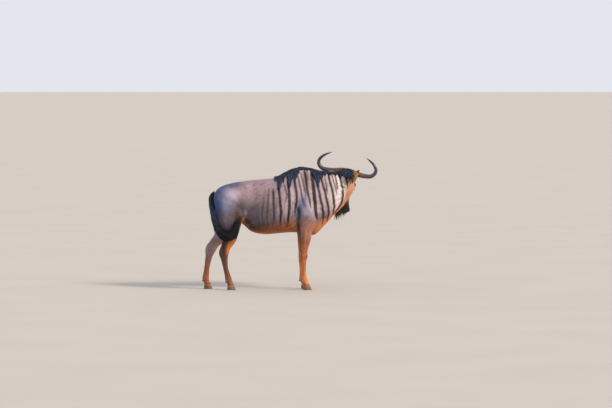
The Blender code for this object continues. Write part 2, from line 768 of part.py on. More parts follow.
def take_limb(body, name, outline, inner, side):
    """Parts a limb with its muscle from the trunk, inside a plate that follows its outline."""
    plate = prism("plate", outline, side * inner, side * 0.60)
    limb = copy_of(body, name)
    combine(limb, plate, "INTERSECT")
    grown = swollen(plate, SEAM)
    combine(body, grown, "DIFFERENCE")
    remove(plate, grown)
    keep_largest(body)
    return keep_largest(limb)


# Outlines (x, z) of the plates that part shoulders and thighs from the trunk.
SHOULDER_OUTLINE = (
    (0.085, 0.640), (0.035, 0.740), (0.000, 0.880), (0.000, 1.020), (0.030, 1.140), (0.090, 1.205),
    (0.150, 1.185), (0.205, 1.090), (0.265, 0.980), (0.310, 0.870), (0.308, 0.770), (0.272, 0.660),
    (0.300, 0.500), (0.340, -0.060), (0.040, -0.060), (0.050, 0.500),
)
THIGH_OUTLINE = (
    (-0.540, 0.690), (-0.520, 0.800), (-0.500, 0.910), (-0.520, 1.030), (-0.590, 1.110), (-0.690, 1.130),
    (-0.790, 1.080), (-0.900, 1.000), (-1.050, 0.960), (-1.100, 0.600), (-1.100, -0.060), (-0.520, -0.060),
    (-0.500, 0.550),
)


class Crest:
    """The line of the back and neck that the mane grows along, read by distance."""

    def __init__(self, start_x, end_x):
        rows = through([station[1:] for station in TRUNK], 400)
        rows = [row for row in rows if start_x <= row[0] <= end_x and row[1] > 1.2]
        self.points = [Vector((row[0], row[7], row[1])) for row in rows]
        self.outs = []
        for row in rows:
            turn = math.radians(row[6])
            self.outs.append(Vector((-math.sin(turn), math.cos(turn), 0)))
        steps = [(b - a).length for a, b in zip(self.points, self.points[1:])]
        self.places = np.concatenate([[0], np.cumsum(steps)])
        self.length = float(self.places[-1])

    def at(self, distance):
        i = int(np.searchsorted(self.places, distance, side="right")) - 1
        i = min(max(i, 0), len(self.points) - 2)
        t = (distance - self.places[i]) / (self.places[i + 1] - self.places[i])
        return self.points[i].lerp(self.points[i + 1], min(t, 1.0)), self.outs[i]


def surface_of(*objects):
    """A search tree over the faces of some closed bodies."""
    points, faces = [], []
    for obj in objects:
        base = len(points)
        points += [v.co.copy() for v in obj.data.vertices]
        faces += [tuple(base + i for i in p.vertices) for p in obj.data.polygons]
    return BVHTree.FromPolygons(points, faces)


def held_off(tree, point, gap):
    """The point itself, or the nearest one that clears the surface by the gap, and the normal there."""
    place, normal, _, _ = tree.find_nearest(point)
    if (point - place).dot(normal) < gap:
        point = place + normal * gap
    return point, normal


def lock(name, path, normals, width, thickness):
    """A flat tapered strand of hair, as a closed four-sided blade that ends in a point."""
    last = len(path) - 1
    points, faces = [], []
    for i in range(last):
        t = i / last
        along = (path[min(i + 1, last)] - path[max(i - 1, 0)]).normalized()
        out = (normals[i] - along * normals[i].dot(along)).normalized()
        across = along.cross(out)
        broad = width / 2 * (0.75 + 0.5 * math.sin(math.pi * min(t * 1.3, 1)) * 0.5) * (1 - t**2.2)
        deep = thickness / 2 * (1 - 0.75 * t)
        middle, aside, above = path[i], across * broad, out * deep
        points += [middle + aside, middle + above, middle - aside, middle - above]
    tip = len(points)
    points.append(path[last])
    for i in range(last - 1):
        for k in range(4):
            a, b = i * 4 + k, i * 4 + (k + 1) % 4
            faces += [(a, b, b + 4), (a, b + 4, a + 4)]
    for k in range(4):
        faces.append(((last - 1) * 4 + k, (last - 1) * 4 + (k + 1) % 4, tip))
    faces += [(0, 2, 1), (0, 3, 2)]
    obj = mesh_object(name, points, faces)
    face_out(obj)
    return obj


def fallen(tree, start, aim, length, gap, fall, steps=5):
    """The line of a strand that leaves its root along an aim, then falls and lies over the body."""
    point, heading = start.copy(), aim.normalized()
    path, normals = [start.copy()], [tree.find_nearest(start)[1]]
    for _ in range(steps):
        point = point + heading * length / steps
        point, normal = held_off(tree, point, gap)
        path.append(point.copy())
        normals.append(normal)
        heading = (heading * (1 - fall) + Vector((0, 0, -1)) * fall).normalized()
        inward = heading.dot(normal)
        if inward < 0:
            heading = (heading - normal * inward * 0.9).normalized()
    return path, normals


MANE_START, MANE_END = -0.172, 0.628
# Each part's first and last place along the crest, and its draw.
MANE_PARTS = (("mane_withers", 0.0, 0.36, 7), ("mane_neck", 0.36, 0.68, 8), ("mane_nape", 0.68, 1.0, 12))
MANE_SPACING = 0.043
# How far the locks reach along the crest, from its start to its end, on the near and the far side.
MANE_PLACES = (0.0, 0.08, 0.22, 0.36, 0.42, 0.58, 0.66, 1.0)
MANE_NEAR = (0.10, 0.20, 0.28, 0.20, 0.16, 0.24, 0.10, 0.08)
MANE_FAR = (0.12, 0.20, 0.26, 0.28, 0.28, 0.22, 0.14, 0.11)


def mane_core(crest, low, high):
    """The ridge of standing hair under the locks, less than half as high as they reach."""
    rings = []
    for t in np.linspace(0, 1, 12):
        distance = low + (high - low) * t
        point, out = crest.at(distance)
        rise = 0.35 + 0.65 * math.sin(math.pi * (0.06 + 0.88 * distance / crest.length))
        rings.append(oval(point, out, Vector((0, 0, 1)), 0.018, 0.016 * rise, 0.020, 8))
    return loft("core", rings)


def mane(crest, tree, low, high, draw):
    """Locks in two layers down both sides of the crest, over a low ridge."""
    pieces = [mane_core(crest, low, high)]
    count = max(int((high - low) / MANE_SPACING), 2)
    for side in (-1, 1):
        for i in range(count):
            share = (i + 0.5 + (0.25 if side > 0 else 0)) / (count + 0.3)
            distance = low + 0.010 + (high - low - 0.020) * share
            point, out = crest.at(distance)
            reach = np.interp(distance / crest.length, MANE_PLACES, MANE_NEAR if side < 0 else MANE_FAR)
            length = float(reach) * draw.uniform(0.9, 1.1)
            layer = i % 2
            root = point + Vector((0, 0, 0.004)) + out * side * 0.004
            aim = out * side * 0.85 + Vector((draw.uniform(-0.45, -0.05), 0, 0.60 - 0.20 * layer))
            gap = 0.0055 + 0.0095 * layer + draw.uniform(0, 0.0025)
            path, normals = fallen(tree, root, aim, length, gap, 0.50)
            width = min(draw.uniform(0.046, 0.058), 0.30 * length)
            pieces.append(lock("lock", path, normals, width, 0.0075))
    return pieces


# The line of the tail (x, y, z) with its half thickness: it hangs, then swings forwards round the
# right thigh.
TAIL = (
    (-0.800, 0.000, 1.150, 0.024),
    (-0.862, 0.000, 1.130, 0.028),
    (-0.904, -0.012, 1.050, 0.033),
    (-0.900, -0.090, 0.958, 0.033),
    (-0.878, -0.185, 0.876, 0.030),
    (-0.856, -0.228, 0.796, 0.031),
    (-0.832, -0.250, 0.718, 0.039),
    (-0.790, -0.266, 0.650, 0.048),
    (-0.736, -0.270, 0.616, 0.056),
    (-0.682, -0.272, 0.616, 0.056),
    (-0.640, -0.268, 0.650, 0.050),
    (-0.606, -0.264, 0.704, 0.038),
    (-0.582, -0.258, 0.766, 0.024),
    (-0.564, -0.252, 0.832, 0.005),
)
TAIL_SPLIT = 0.44  # share of the tail's line that is the dock


def tail_line(tree):
    """Points and half thicknesses along the tail, kept clear of the thigh."""
    line = []
    for x, y, z, thick in through(TAIL, 60):
        point = Vector((x, y, z))
        if z < 1.08:
            point, _ = held_off(tree, point, thick + 0.006)
        line.append((point, float(thick)))
    return line


def tail_part(name, line, low, high, locks, draw):
    """A core along a stretch of the tail, with strands that lie along it and spread at their tips."""
    count = len(line) - 1
    first, last = int(low * count), int(high * count)
    up = Vector((0.0, 1.0, 0.25)).normalized()

    def frame(i):
        along = (line[min(i + 1, count)][0] - line[max(i - 1, 0)][0]).normalized()
        across = along.cross(up).normalized()
        return along, across, across.cross(along)

    rings = []
    for i in range(first, last + 1, 2):
        point, thick = line[i]
        _, across, out = frame(i)
        core = thick * (0.62 if i > 6 else 1.0)
        rings.append(oval(point, across, out, core, core, core, 10))
    pieces = [loft("core", rings)]
    for k in range(locks):
        share = (k + 0.3) / locks
        start = first + 1 + int((last - first - 9) * share)
        angle = k * 2.399963
        reach = min(int(draw.uniform(9, 14)), last - start)
        path, normals = [], []
        for j in range(7):
            i = min(start + round(reach * j / 6), count)
            point, thick = line[i]
            _, across, out = frame(i)
            radial = across * math.cos(angle) + out * math.sin(angle)
            offset = thick * (0.35 + 0.62 * min(j / 2, 1) + 0.06 * (k % 2))
            path.append(point + radial * offset)
            normals.append(radial)
        pieces.append(lock("lock", path, normals, draw.uniform(0.022, 0.030), 0.0085))
    return guarded(name, pieces)


def beard(name, roots, tree, first_length, last_length, draw):
    """Strands hanging from a low ridge along the jaw or throat."""
    rings = []
    for point, out, across in roots[::2] + [roots[-1]]:
        rings.append(oval(point, across, out, 0.013, 0.014, 0.012, 8))
    pieces = [loft("core", rings)]
    for i, (point, out, across) in enumerate(roots[1:-1]):
        for row in (-1, 0, 1):
            if (row == 0) == (i % 2 > 0):
                continue
            root = point + across * row * 0.007 + out * 0.002
            aim = out * 0.55 + across * row * 0.35 + Vector((draw.uniform(-0.2, 0.1), 0, -0.6))
            share = i / max(len(roots) - 3, 1)
            reach = (first_length + (last_length - first_length) * share) * draw.uniform(0.85, 1.12)
            path, normals = fallen(tree, root, aim, reach, 0.006 + 0.006 * (i % 2), 0.42)
            side = [n if abs(n.z) < 0.8 else across for n in normals]
            pieces.append(lock("lock", path, side, draw.uniform(0.021, 0.027), 0.008))
    return guarded(name, pieces)


def jaw_roots():
    roots = []
    for a in np.linspace(0.400, 0.190, 9):
        t = smooth_part(a, 0.11, 0.385)
        c = -0.200 + 0.086 * t
        roots.append((on_head(a, 0, c), along_head(0, 0, -1), along_head(0, 1, 0)))
    return roots


def throat_roots():
    roots = []
    rows = through([station[1:] for station in TRUNK], 200)
    rows = [row for row in rows if row[2] > 0.515 and row[7] < 0.116]
    for row in rows[:: max(len(rows) // 7, 1)]:
        turn = math.radians(row[6])
        across = Vector((-math.sin(turn), math.cos(turn), 0))
        forward = Vector((math.cos(turn), math.sin(turn), 0))
        down = (forward * 0.6 + Vector((0, 0, -0.8))).normalized()
        roots.append((Vector((row[2], row[7], row[3])), down, across))
    return roots


def forelock(tree, draw):
    """Short hair that falls from between the horns over the forehead."""
    rings = [
        oval(on_head(a, 0, 0.010), along_head(0, 1, 0), along_head(0, 0, 1), 0.012, 0.012, 0.012, 8)
        for a in (0.012, 0.030, 0.055)
    ]
    pieces = [loft("core", rings)]
    for i in range(5):
        b = (i - 2) * 0.012
        root = on_head(0.030 + 0.006 * (i % 3), b * 0.6, 0.012)
        aim = along_head(0.85, b * 14, 0.45)
        path, normals = fallen(tree, root, aim, draw.uniform(0.07, 0.10), 0.005 + 0.006 * (i % 2), 0.25)
        pieces.append(lock("lock", path, normals, 0.018, 0.006))
    return guarded("forelock", pieces)


def wear(obj, finish_name, finish):
    obj.data.materials.clear()
    obj.data.materials.append(finish_material(finish_name, finish))
    obj.data.shade_smooth()


def centre_on_floor():
    """Moves every node so that the whole stands over the origin."""
    low, high = Vector((9, 9, 9)), Vector((-9, -9, -9))
    nodes = [obj for obj in bpy.data.objects if obj.type == "MESH"]
    for obj in nodes:
        for vert in obj.data.vertices:
            low = Vector(map(min, low, vert.co))
            high = Vector(map(max, high, vert.co))
    shift = Vector((-(low.x + high.x) / 2, -(low.y + high.y) / 2, 0))
    for obj in nodes:
        obj.data.transform(Matrix.Translation(shift))
    print("moved to the centre by", tuple(round(v, 5) for v in shift))


def feet(limbs):
    """Parts each leg at knee or hock and at the coronet, and adds its hooves and dewclaws."""
    places = {
        "front_right": (FRONT_LEG, -1, 0.0, KNEE_CUT),
        "front_left": (FRONT_LEG, 1, FAR_FRONT_SHIFT, KNEE_CUT),
        "hind_right": (HIND_LEG_RIGHT, -1, 0.0, HOCK_CUT_RIGHT),
        "hind_left": (HIND_LEG_LEFT, 1, 0.0, HOCK_CUT_LEFT),
    }
    for name, (stations, side, shift, joint) in places.items():
        upper = limbs[name]
        lower = split(upper, "leg_" + name + "_lower", (0, 0, joint), (0, 0, -1))
        coronet, fetlock = stations[-1], stations[-3]
        x, y = coronet[1] + shift, side * coronet[2]
        slope = Vector((-0.22, 0, 1))
        hoof_top = split(lower, "waste", (x, y, HOOF_HEIGHT - 0.002), -slope)
        remove(hoof_top)
        for part_name, outwards in (("outer", side), ("inner", -side)):
            hoof = claw("hoof_" + name + "_" + part_name, x - 0.010, y, outwards, HOOF_SIZE)
            block = half_space("block", (x, y, HOOF_HEIGHT - 0.002 - SEAM), slope)
            combine(hoof, block, "DIFFERENCE")
            remove(block)
            keep_largest(hoof)
            heel_x, heel_y = fetlock[1] + shift - 0.024, side * fetlock[2] + outwards * 0.015
            heel = Vector((heel_x, heel_y, fetlock[3] - 0.006))
            spur = dewclaw("dewclaw_" + name + "_" + part_name, heel, outwards)
            cut_away(spur, lower)
            wear(hoof, "hoof_dark", HOOF_DARK)
            wear(spur, "hoof_dark", HOOF_DARK)
        wear(lower, "coat_tan", COAT_TAN)
        wear(upper, "coat_grey", COAT_GREY)


def main():
    clear_scene()
    body = flesh()
    head = skull()
    block = half_space("block", on_head(-0.030, 0, -0.040), along_head(0.94, 0, 0.34))
    combine(head, block, "INTERSECT")
    remove(block)
    keep_largest(head)
    whole = fuse("torso", [body, copy_of(head, "skull_copy")])
    keep_largest(whole)
    tree = surface_of(whole)

    horns = [horn("horn_left", 1), horn("horn_right", -1)]
    ears = [ear("ear_left", 1), ear("ear_right", -1)]
    for obj in horns:
        cut_away(obj, whole)
        wear(obj, "horn_grey", HORN_GREY)
    for obj, beside in zip(ears, horns):
        cut_away(obj, whole, beside)
        wear(obj, "ear_brown", EAR_BROWN)
    for name, side in (("eye_left", 1), ("eye_right", -1)):
        eye = ball(name, eye_centre(side), EYE_RADIUS, *EYE_FACETS)
        wear(eye, "eye_dark", EYE_DARK)

    crest = Crest(MANE_START, MANE_END)
    hair = []
    for name, low, high, seed in MANE_PARTS:
        low, high = low * crest.length, high * crest.length
        hair.append(guarded(name, mane(crest, tree, low, high - 0.004, random.Random(seed))))
    line = tail_line(tree)
    hair.append(tail_part("tail_dock", line, 0.0, TAIL_SPLIT, 8, random.Random(21)))
    hair.append(tail_part("tail_tuft", line, TAIL_SPLIT, 1.0, 13, random.Random(22)))
    hair.append(beard("beard_jaw", jaw_roots(), tree, 0.115, 0.150, random.Random(31)))
    hair.append(beard("beard_throat", throat_roots(), tree, 0.110, 0.165, random.Random(32)))
    hair.append(forelock(tree, random.Random(41)))
    guards = []
    for obj, guard in hair:
        cut_away(obj, whole, *[other for other in horns + ears if boxes_meet(obj, other)])
        for other in guards:
            if boxes_meet(obj, other):
                combine(obj, other, "DIFFERENCE")
        keep_largest(obj)
        wear(obj, "hair_black", HAIR_BLACK)
        guards.append(guard)
    remove(*guards)

    limbs = {}
    for name, outline, inner, side in (
        ("front_right", SHOULDER_OUTLINE, SHOULDER_DEPTH, -1),
        ("front_left", SHOULDER_OUTLINE, SHOULDER_DEPTH, 1),
        ("hind_right", THIGH_OUTLINE, THIGH_DEPTH, -1),
        ("hind_left", THIGH_OUTLINE, THIGH_DEPTH, 1),
    ):
        limbs[name] = take_limb(whole, "leg_" + name + "_upper", outline, inner, side)
    feet(limbs)
    cut_away(whole, head)
    head.name = "head"
    neck = split(whole, "neck", *NECK_CUT)
    wear(whole, "coat_grey", COAT_GREY)
    wear(neck, "coat_grey", COAT_GREY)
    wear(head, "face_dark", FACE_DARK)
    centre_on_floor()
    for obj in sorted(bpy.data.objects, key=lambda o: o.name):
        print(obj.name, sum(len(face.vertices) - 2 for face in obj.data.polygons))


main()
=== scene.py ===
# %% [markdown]
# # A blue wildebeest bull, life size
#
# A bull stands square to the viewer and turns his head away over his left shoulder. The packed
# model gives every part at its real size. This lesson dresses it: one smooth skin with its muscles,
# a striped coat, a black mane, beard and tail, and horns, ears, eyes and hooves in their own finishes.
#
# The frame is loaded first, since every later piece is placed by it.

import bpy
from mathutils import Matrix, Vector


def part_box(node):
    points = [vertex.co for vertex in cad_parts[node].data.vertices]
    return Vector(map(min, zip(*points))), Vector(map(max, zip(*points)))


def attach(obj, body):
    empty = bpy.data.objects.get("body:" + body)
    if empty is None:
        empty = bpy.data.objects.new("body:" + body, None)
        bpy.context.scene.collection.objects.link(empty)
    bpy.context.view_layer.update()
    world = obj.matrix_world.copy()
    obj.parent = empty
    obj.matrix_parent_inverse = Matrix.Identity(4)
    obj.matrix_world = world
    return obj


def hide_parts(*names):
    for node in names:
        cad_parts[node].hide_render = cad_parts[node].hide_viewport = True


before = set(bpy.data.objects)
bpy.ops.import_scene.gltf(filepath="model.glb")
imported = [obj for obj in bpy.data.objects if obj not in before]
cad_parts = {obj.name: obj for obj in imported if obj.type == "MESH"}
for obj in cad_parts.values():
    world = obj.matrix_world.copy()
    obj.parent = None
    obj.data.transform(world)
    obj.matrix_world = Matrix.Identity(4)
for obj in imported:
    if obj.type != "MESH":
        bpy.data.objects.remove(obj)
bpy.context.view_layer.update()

# %% [markdown]
# ## Ways to handle many points at once
#
# A coat has hundreds of thousands of points, so positions are kept in arrays, and a step such as
# smoothing or painting is one line of arithmetic for all of them. Lengths are metres, +X points
# from tail to chest and +Y to the animal's left.

# %% Point helpers
import math

import bmesh
import bpy
import numpy as np
from mathutils import Matrix, Vector, noise
from mathutils.bvhtree import BVHTree


def ease(value, low, high):
    """0 below low, 1 above high, with a soft start and end."""
    t = np.clip((np.asarray(value, float) - low) / (high - low), 0.0, 1.0)
    return t * t * (3 - 2 * t)


def hill(distance, width):
    return np.exp(-((distance / width) ** 2))


def unit(vectors):
    length = np.linalg.norm(vectors, axis=-1, keepdims=True)
    return vectors / np.maximum(length, 1e-12)


def dot(a, b):
    return (a * b).sum(axis=-1)


def through(stations, count):
    """Rows read at even steps from a smooth curve through the stations, without their names."""
    rows = np.array([station[1:] for station in stations], float)
    rows = np.vstack([2 * rows[0] - rows[1], rows, 2 * rows[-1] - rows[-2]])
    place = np.linspace(0, len(stations) - 1, count)
    i = np.minimum(place.astype(int), len(stations) - 2)
    t = (place - i)[:, None]
    a, b, c, d = (rows[i + k] for k in range(4))
    return 0.5 * (2 * b + (c - a) * t + (2 * a - 5 * b + 4 * c - d) * t**2 + (3 * b - a - 3 * c + d) * t**3)


def oval(centre, out, up, half_out, half_up, half_down, sides, power=2.0):
    """A closed ring with its own reach upwards and downwards from its widest place."""
    angle = np.linspace(0, 2 * np.pi, sides, endpoint=False)
    c, s = np.cos(angle), np.sin(angle)
    across = np.copysign(np.abs(c) ** (2 / power), c)
    along = np.copysign(np.abs(s) ** (2 / power), s)
    reach = np.where(s > 0, half_up, half_down)
    return centre + np.outer(half_out * across, out) + np.outer(reach * along, up)


def loft(rings):
    """Points and triangles of a tube over rings of equal length, closed at both ends."""
    rings = np.asarray(rings, float)
    rows, sides = rings.shape[:2]
    grid = np.arange(rows * sides).reshape(rows, sides)
    a, b = grid[:-1], np.roll(grid, -1, axis=1)[:-1]
    c, d = np.roll(grid, -1, axis=1)[1:], grid[1:]
    faces = [np.stack([a, b, c], -1).reshape(-1, 3), np.stack([a, c, d], -1).reshape(-1, 3)]
    ends = rows * sides
    faces.append(np.stack([np.roll(grid[0], -1), grid[0], np.full(sides, ends)], -1))
    faces.append(np.stack([grid[-1], np.roll(grid[-1], -1), np.full(sides, ends + 1)], -1))
    points = np.vstack([rings.reshape(-1, 3), rings[0].mean(axis=0), rings[-1].mean(axis=0)])
    return points, np.vstack(faces)


def joined(parts):
    """Several (points, triangles) pairs as one."""
    base, points, faces = 0, [], []
    for some_points, some_faces in parts:
        points.append(some_points)
        faces.append(some_faces + base)
        base += len(some_points)
    return np.vstack(points), np.vstack(faces)


print("a smooth step at its middle:", float(ease(0.5, 0, 1)))

# %% [markdown]
# ## Measures of the animal
#
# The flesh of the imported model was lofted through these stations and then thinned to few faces.
# The same stations are lofted here again with many more rings, so that the skin is smooth and still
# lies where the solids are. The eye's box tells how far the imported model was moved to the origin.

# %% Stations of the trunk
# Back line (x, z), belly or throat line (x, z), half width, height of the widest place, heading, y.
TRUNK = (
    ("rump end", -0.876, 1.090, -0.874, 0.930, 0.066, 0.50, 0, 0.000),
    ("tail head", -0.835, 1.153, -0.850, 0.840, 0.150, 0.50, 0, 0.000),
    ("pin bones", -0.765, 1.196, -0.780, 0.800, 0.192, 0.55, 0, 0.000),
    ("croup", -0.650, 1.228, -0.660, 0.790, 0.212, 0.58, 0, 0.000),
    ("hip", -0.540, 1.245, -0.550, 0.755, 0.208, 0.55, 0, 0.000),
    ("loin", -0.420, 1.259, -0.440, 0.664, 0.208, 0.48, 0, 0.000),
    ("last rib", -0.280, 1.272, -0.290, 0.634, 0.226, 0.44, 0, 0.000),
    ("barrel", -0.140, 1.290, -0.130, 0.645, 0.230, 0.45, 0, 0.000),
    ("girth", -0.010, 1.350, 0.020, 0.656, 0.214, 0.45, 0, 0.000),
    ("withers", 0.112, 1.390, 0.150, 0.645, 0.196, 0.42, 0, 0.000),
    ("shoulder", 0.230, 1.380, 0.280, 0.628, 0.180, 0.40, 0, 0.000),
    ("neck root", 0.335, 1.352, 0.392, 0.732, 0.152, 0.42, 8, 0.004),
    ("mid neck", 0.440, 1.336, 0.495, 0.850, 0.124, 0.46, 22, 0.026),
    ("upper neck", 0.535, 1.332, 0.580, 0.935, 0.104, 0.50, 40, 0.068),
    ("throat", 0.605, 1.330, 0.622, 1.000, 0.092, 0.52, 56, 0.112),
    ("nape end", 0.650, 1.312, 0.648, 1.080, 0.070, 0.52, 66, 0.150),
)

# %% Stations of the legs
# Each: x, y outwards, z, then half sizes forwards, backwards and sideways.
FRONT_LEG = (
    ("blade top", 0.085, 0.100, 1.230, 0.070, 0.070, 0.040),
    ("blade", 0.120, 0.128, 1.080, 0.110, 0.105, 0.066),
    ("shoulder point", 0.175, 0.142, 0.900, 0.135, 0.120, 0.072),
    ("upper arm", 0.180, 0.146, 0.780, 0.118, 0.108, 0.066),
    ("elbow", 0.174, 0.146, 0.690, 0.088, 0.078, 0.056),
    ("forearm", 0.172, 0.142, 0.595, 0.070, 0.063, 0.047),
    ("low forearm", 0.163, 0.136, 0.500, 0.052, 0.049, 0.038),
    ("above knee", 0.160, 0.131, 0.432, 0.042, 0.039, 0.034),
    ("knee", 0.161, 0.128, 0.385, 0.043, 0.041, 0.038),
    ("below knee", 0.158, 0.125, 0.328, 0.031, 0.035, 0.028),
    ("cannon", 0.160, 0.121, 0.245, 0.025, 0.028, 0.024),
    ("above fetlock", 0.163, 0.117, 0.165, 0.027, 0.031, 0.026),
    ("fetlock", 0.166, 0.115, 0.120, 0.035, 0.037, 0.034),
    ("pastern", 0.184, 0.114, 0.080, 0.029, 0.031, 0.032),
    ("coronet", 0.199, 0.113, 0.046, 0.035, 0.034, 0.041),
)
HIND_LEG_RIGHT = (
    ("hip joint", -0.640, 0.110, 1.120, 0.110, 0.120, 0.050),
    ("upper thigh", -0.690, 0.140, 0.980, 0.165, 0.156, 0.078),
    ("thigh", -0.712, 0.150, 0.850, 0.180, 0.150, 0.086),
    ("low thigh", -0.706, 0.152, 0.750, 0.158, 0.145, 0.078),
    ("stifle", -0.697, 0.150, 0.670, 0.120, 0.108, 0.064),
    ("gaskin", -0.700, 0.144, 0.585, 0.086, 0.072, 0.048),
    ("low gaskin", -0.734, 0.138, 0.495, 0.057, 0.058, 0.037),
    ("hock", -0.753, 0.134, 0.425, 0.055, 0.063, 0.037),
    ("below hock", -0.750, 0.131, 0.352, 0.039, 0.041, 0.030),
    ("cannon", -0.734, 0.127, 0.245, 0.029, 0.031, 0.024),
    ("above fetlock", -0.714, 0.124, 0.165, 0.033, 0.035, 0.027),
    ("fetlock", -0.702, 0.122, 0.118, 0.038, 0.041, 0.034),
    ("pastern", -0.687, 0.121, 0.080, 0.032, 0.034, 0.032),
    ("coronet", -0.672, 0.120, 0.046, 0.035, 0.034, 0.039),
)
HIND_LEG_LEFT = (
    ("hip joint", -0.640, 0.110, 1.120, 0.110, 0.120, 0.050),
    ("upper thigh", -0.692, 0.140, 0.980, 0.160, 0.160, 0.078),
    ("thigh", -0.722, 0.150, 0.855, 0.170, 0.150, 0.086),
    ("low thigh", -0.742, 0.152, 0.760, 0.150, 0.128, 0.078),
    ("stifle", -0.765, 0.150, 0.690, 0.112, 0.102, 0.064),
    ("gaskin", -0.808, 0.144, 0.605, 0.084, 0.070, 0.048),
    ("low gaskin", -0.872, 0.138, 0.525, 0.062, 0.058, 0.038),
    ("hock", -0.914, 0.134, 0.455, 0.060, 0.064, 0.037),
    ("below hock", -0.934, 0.131, 0.378, 0.042, 0.044, 0.030),
    ("cannon", -0.956, 0.127, 0.262, 0.032, 0.033, 0.024),
    ("above fetlock", -0.966, 0.124, 0.170, 0.034, 0.037, 0.027),
    ("fetlock", -0.972, 0.122, 0.120, 0.038, 0.041, 0.034),
    ("pastern", -0.961, 0.121, 0.080, 0.032, 0.034, 0.032),
    ("coronet", -0.946, 0.120, 0.046, 0.036, 0.035, 0.039),
)
# Name, stations, side and how far the leg is moved back.
LEGS = (
    ("front_right", FRONT_LEG, -1, 0.0),
    ("front_left", FRONT_LEG, 1, -0.024),
    ("hind_right", HIND_LEG_RIGHT, -1, 0.0),
    ("hind_left", HIND_LEG_LEFT, 1, 0.0),
)

# %% Stations of the head, in its own axes
# a runs from the poll along the face, b to the left, c out of the forehead.
# Skull and upper lip: a, c of the face line, c of the lower line, half width, widest place.
FACE = (
    ("neck side", -0.075, -0.030, -0.180, 0.062, 0.60),
    ("occiput", -0.035, -0.004, -0.192, 0.082, 0.62),
    ("horn base", 0.015, 0.010, -0.196, 0.090, 0.64),
    ("forehead", 0.070, 0.010, -0.200, 0.092, 0.66),
    ("brow", 0.125, 0.006, -0.198, 0.090, 0.70),
    ("below eyes", 0.180, 0.002, -0.180, 0.078, 0.68),
    ("cheek", 0.240, -0.002, -0.150, 0.060, 0.62),
    ("bridge", 0.300, -0.005, -0.118, 0.050, 0.58),
    ("nose", 0.355, -0.008, -0.096, 0.049, 0.54),
    ("nostrils", 0.410, -0.013, -0.084, 0.058, 0.50),
    ("muzzle", 0.448, -0.022, -0.080, 0.058, 0.48),
    ("muzzle end", 0.470, -0.038, -0.072, 0.036, 0.45),
)
JAW = (
    ("jaw angle", 0.070, -0.110, -0.192, 0.050, 0.50),
    ("jowl", 0.130, -0.100, -0.204, 0.052, 0.50),
    ("branch", 0.200, -0.090, -0.178, 0.046, 0.50),
    ("bars", 0.280, -0.076, -0.140, 0.036, 0.55),
    ("chin groove", 0.350, -0.070, -0.116, 0.034, 0.60),
    ("chin", 0.400, -0.066, -0.114, 0.042, 0.62),
    ("lower lip", 0.440, -0.066, -0.106, 0.040, 0.62),
    ("lip end", 0.458, -0.070, -0.092, 0.022, 0.60),
)
HEAD_LENGTH = 0.50
HEAD_HEADING, HEAD_PITCH, HEAD_ROLL = (math.radians(v) for v in (80.0, 62.0, 9.5))
POLL = np.array((0.668, 0.165, 1.335))
EYE_RADIUS = 0.0235
EYE_PLACE = np.array((0.148, 0.085, -0.046))
EAR_ROOT, EAR_LENGTH = (0.030, 0.094, -0.070), 0.190
MOUTH_CORNER, MOUTH_LINE = 0.372, -0.080
HORN_SHIFT = 0.030


def head_axes():
    """The head's level, left and upward directions, and its matrix from head axes to the animal's."""
    level = Vector((math.cos(HEAD_HEADING), math.sin(HEAD_HEADING), 0))
    roll = Matrix.Rotation(HEAD_ROLL, 3, level)
    left = roll @ Vector((-math.sin(HEAD_HEADING), math.cos(HEAD_HEADING), 0))
    rise = roll @ Vector((0, 0, 1))
    along = (level * math.cos(HEAD_PITCH) - rise * math.sin(HEAD_PITCH)) * HEAD_LENGTH / FACE[-1][1]
    out = level * math.sin(HEAD_PITCH) + rise * math.cos(HEAD_PITCH)
    axes = np.array([along, left, out]).T
    return np.array(level), np.array(left), np.array(rise), axes


LEVEL, LEFT, RISE, HEAD_AXES = head_axes()


def from_head(points):
    return np.asarray(points, float) @ HEAD_AXES.T + POLL


def to_head(points):
    return (points - POLL) @ np.linalg.inv(HEAD_AXES).T


def head_direction(a, b, c):
    return unit(HEAD_AXES @ np.array((a, b, c), float))


eye_low, eye_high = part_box("eye_left")
SHIFT = np.array((eye_low + eye_high) / 2) - from_head(EYE_PLACE)
print("the packed model stands at", SHIFT.round(5), "from the stations")

# %% [markdown]
# ## The skin
#
# A live animal has one skin, and no seam may show where the solids meet. Trunk, legs and head are
# lofted, laid into each other and remeshed into one surface. A modeller would then smooth it with a
# brush. Here each round pulls every point towards its neighbours and then gives back what plain
# smoothing shrinks, so that the joins flow and the limbs keep their thickness.

# %% Mesh helpers
def mesh_of(name, points, faces):
    """A mesh object with all its faces of one length."""
    faces = np.asarray(faces, np.int32)
    count, corners = faces.shape
    mesh = bpy.data.meshes.new(name)
    mesh.vertices.add(len(points))
    mesh.vertices.foreach_set("co", np.ravel(points).astype(np.float32))
    mesh.loops.add(count * corners)
    mesh.loops.foreach_set("vertex_index", faces.ravel())
    mesh.polygons.add(count)
    mesh.polygons.foreach_set("loop_start", np.arange(0, count * corners, corners, dtype=np.int32))
    mesh.update(calc_edges=True)
    obj = bpy.data.objects.new(name, mesh)
    bpy.context.scene.collection.objects.link(obj)
    return obj


def read(mesh, kind="co"):
    """Positions or normals of a mesh's points."""
    values = np.empty(len(mesh.vertices) * 3, np.float32)
    if kind == "co":
        mesh.vertices.foreach_get("co", values)
    else:
        mesh.vertex_normals.foreach_get("vector", values)
    return values.reshape(-1, 3).astype(float)


def write(mesh, points):
    mesh.vertices.foreach_set("co", points.astype(np.float32).ravel())
    mesh.update()


def settle(obj):
    """Applies the object's modifiers."""
    bpy.context.view_layer.update()
    graph = bpy.context.evaluated_depsgraph_get()
    made = bpy.data.meshes.new_from_object(obj.evaluated_get(graph), depsgraph=graph)
    obj.modifiers.clear()
    obj.data = made
    return obj


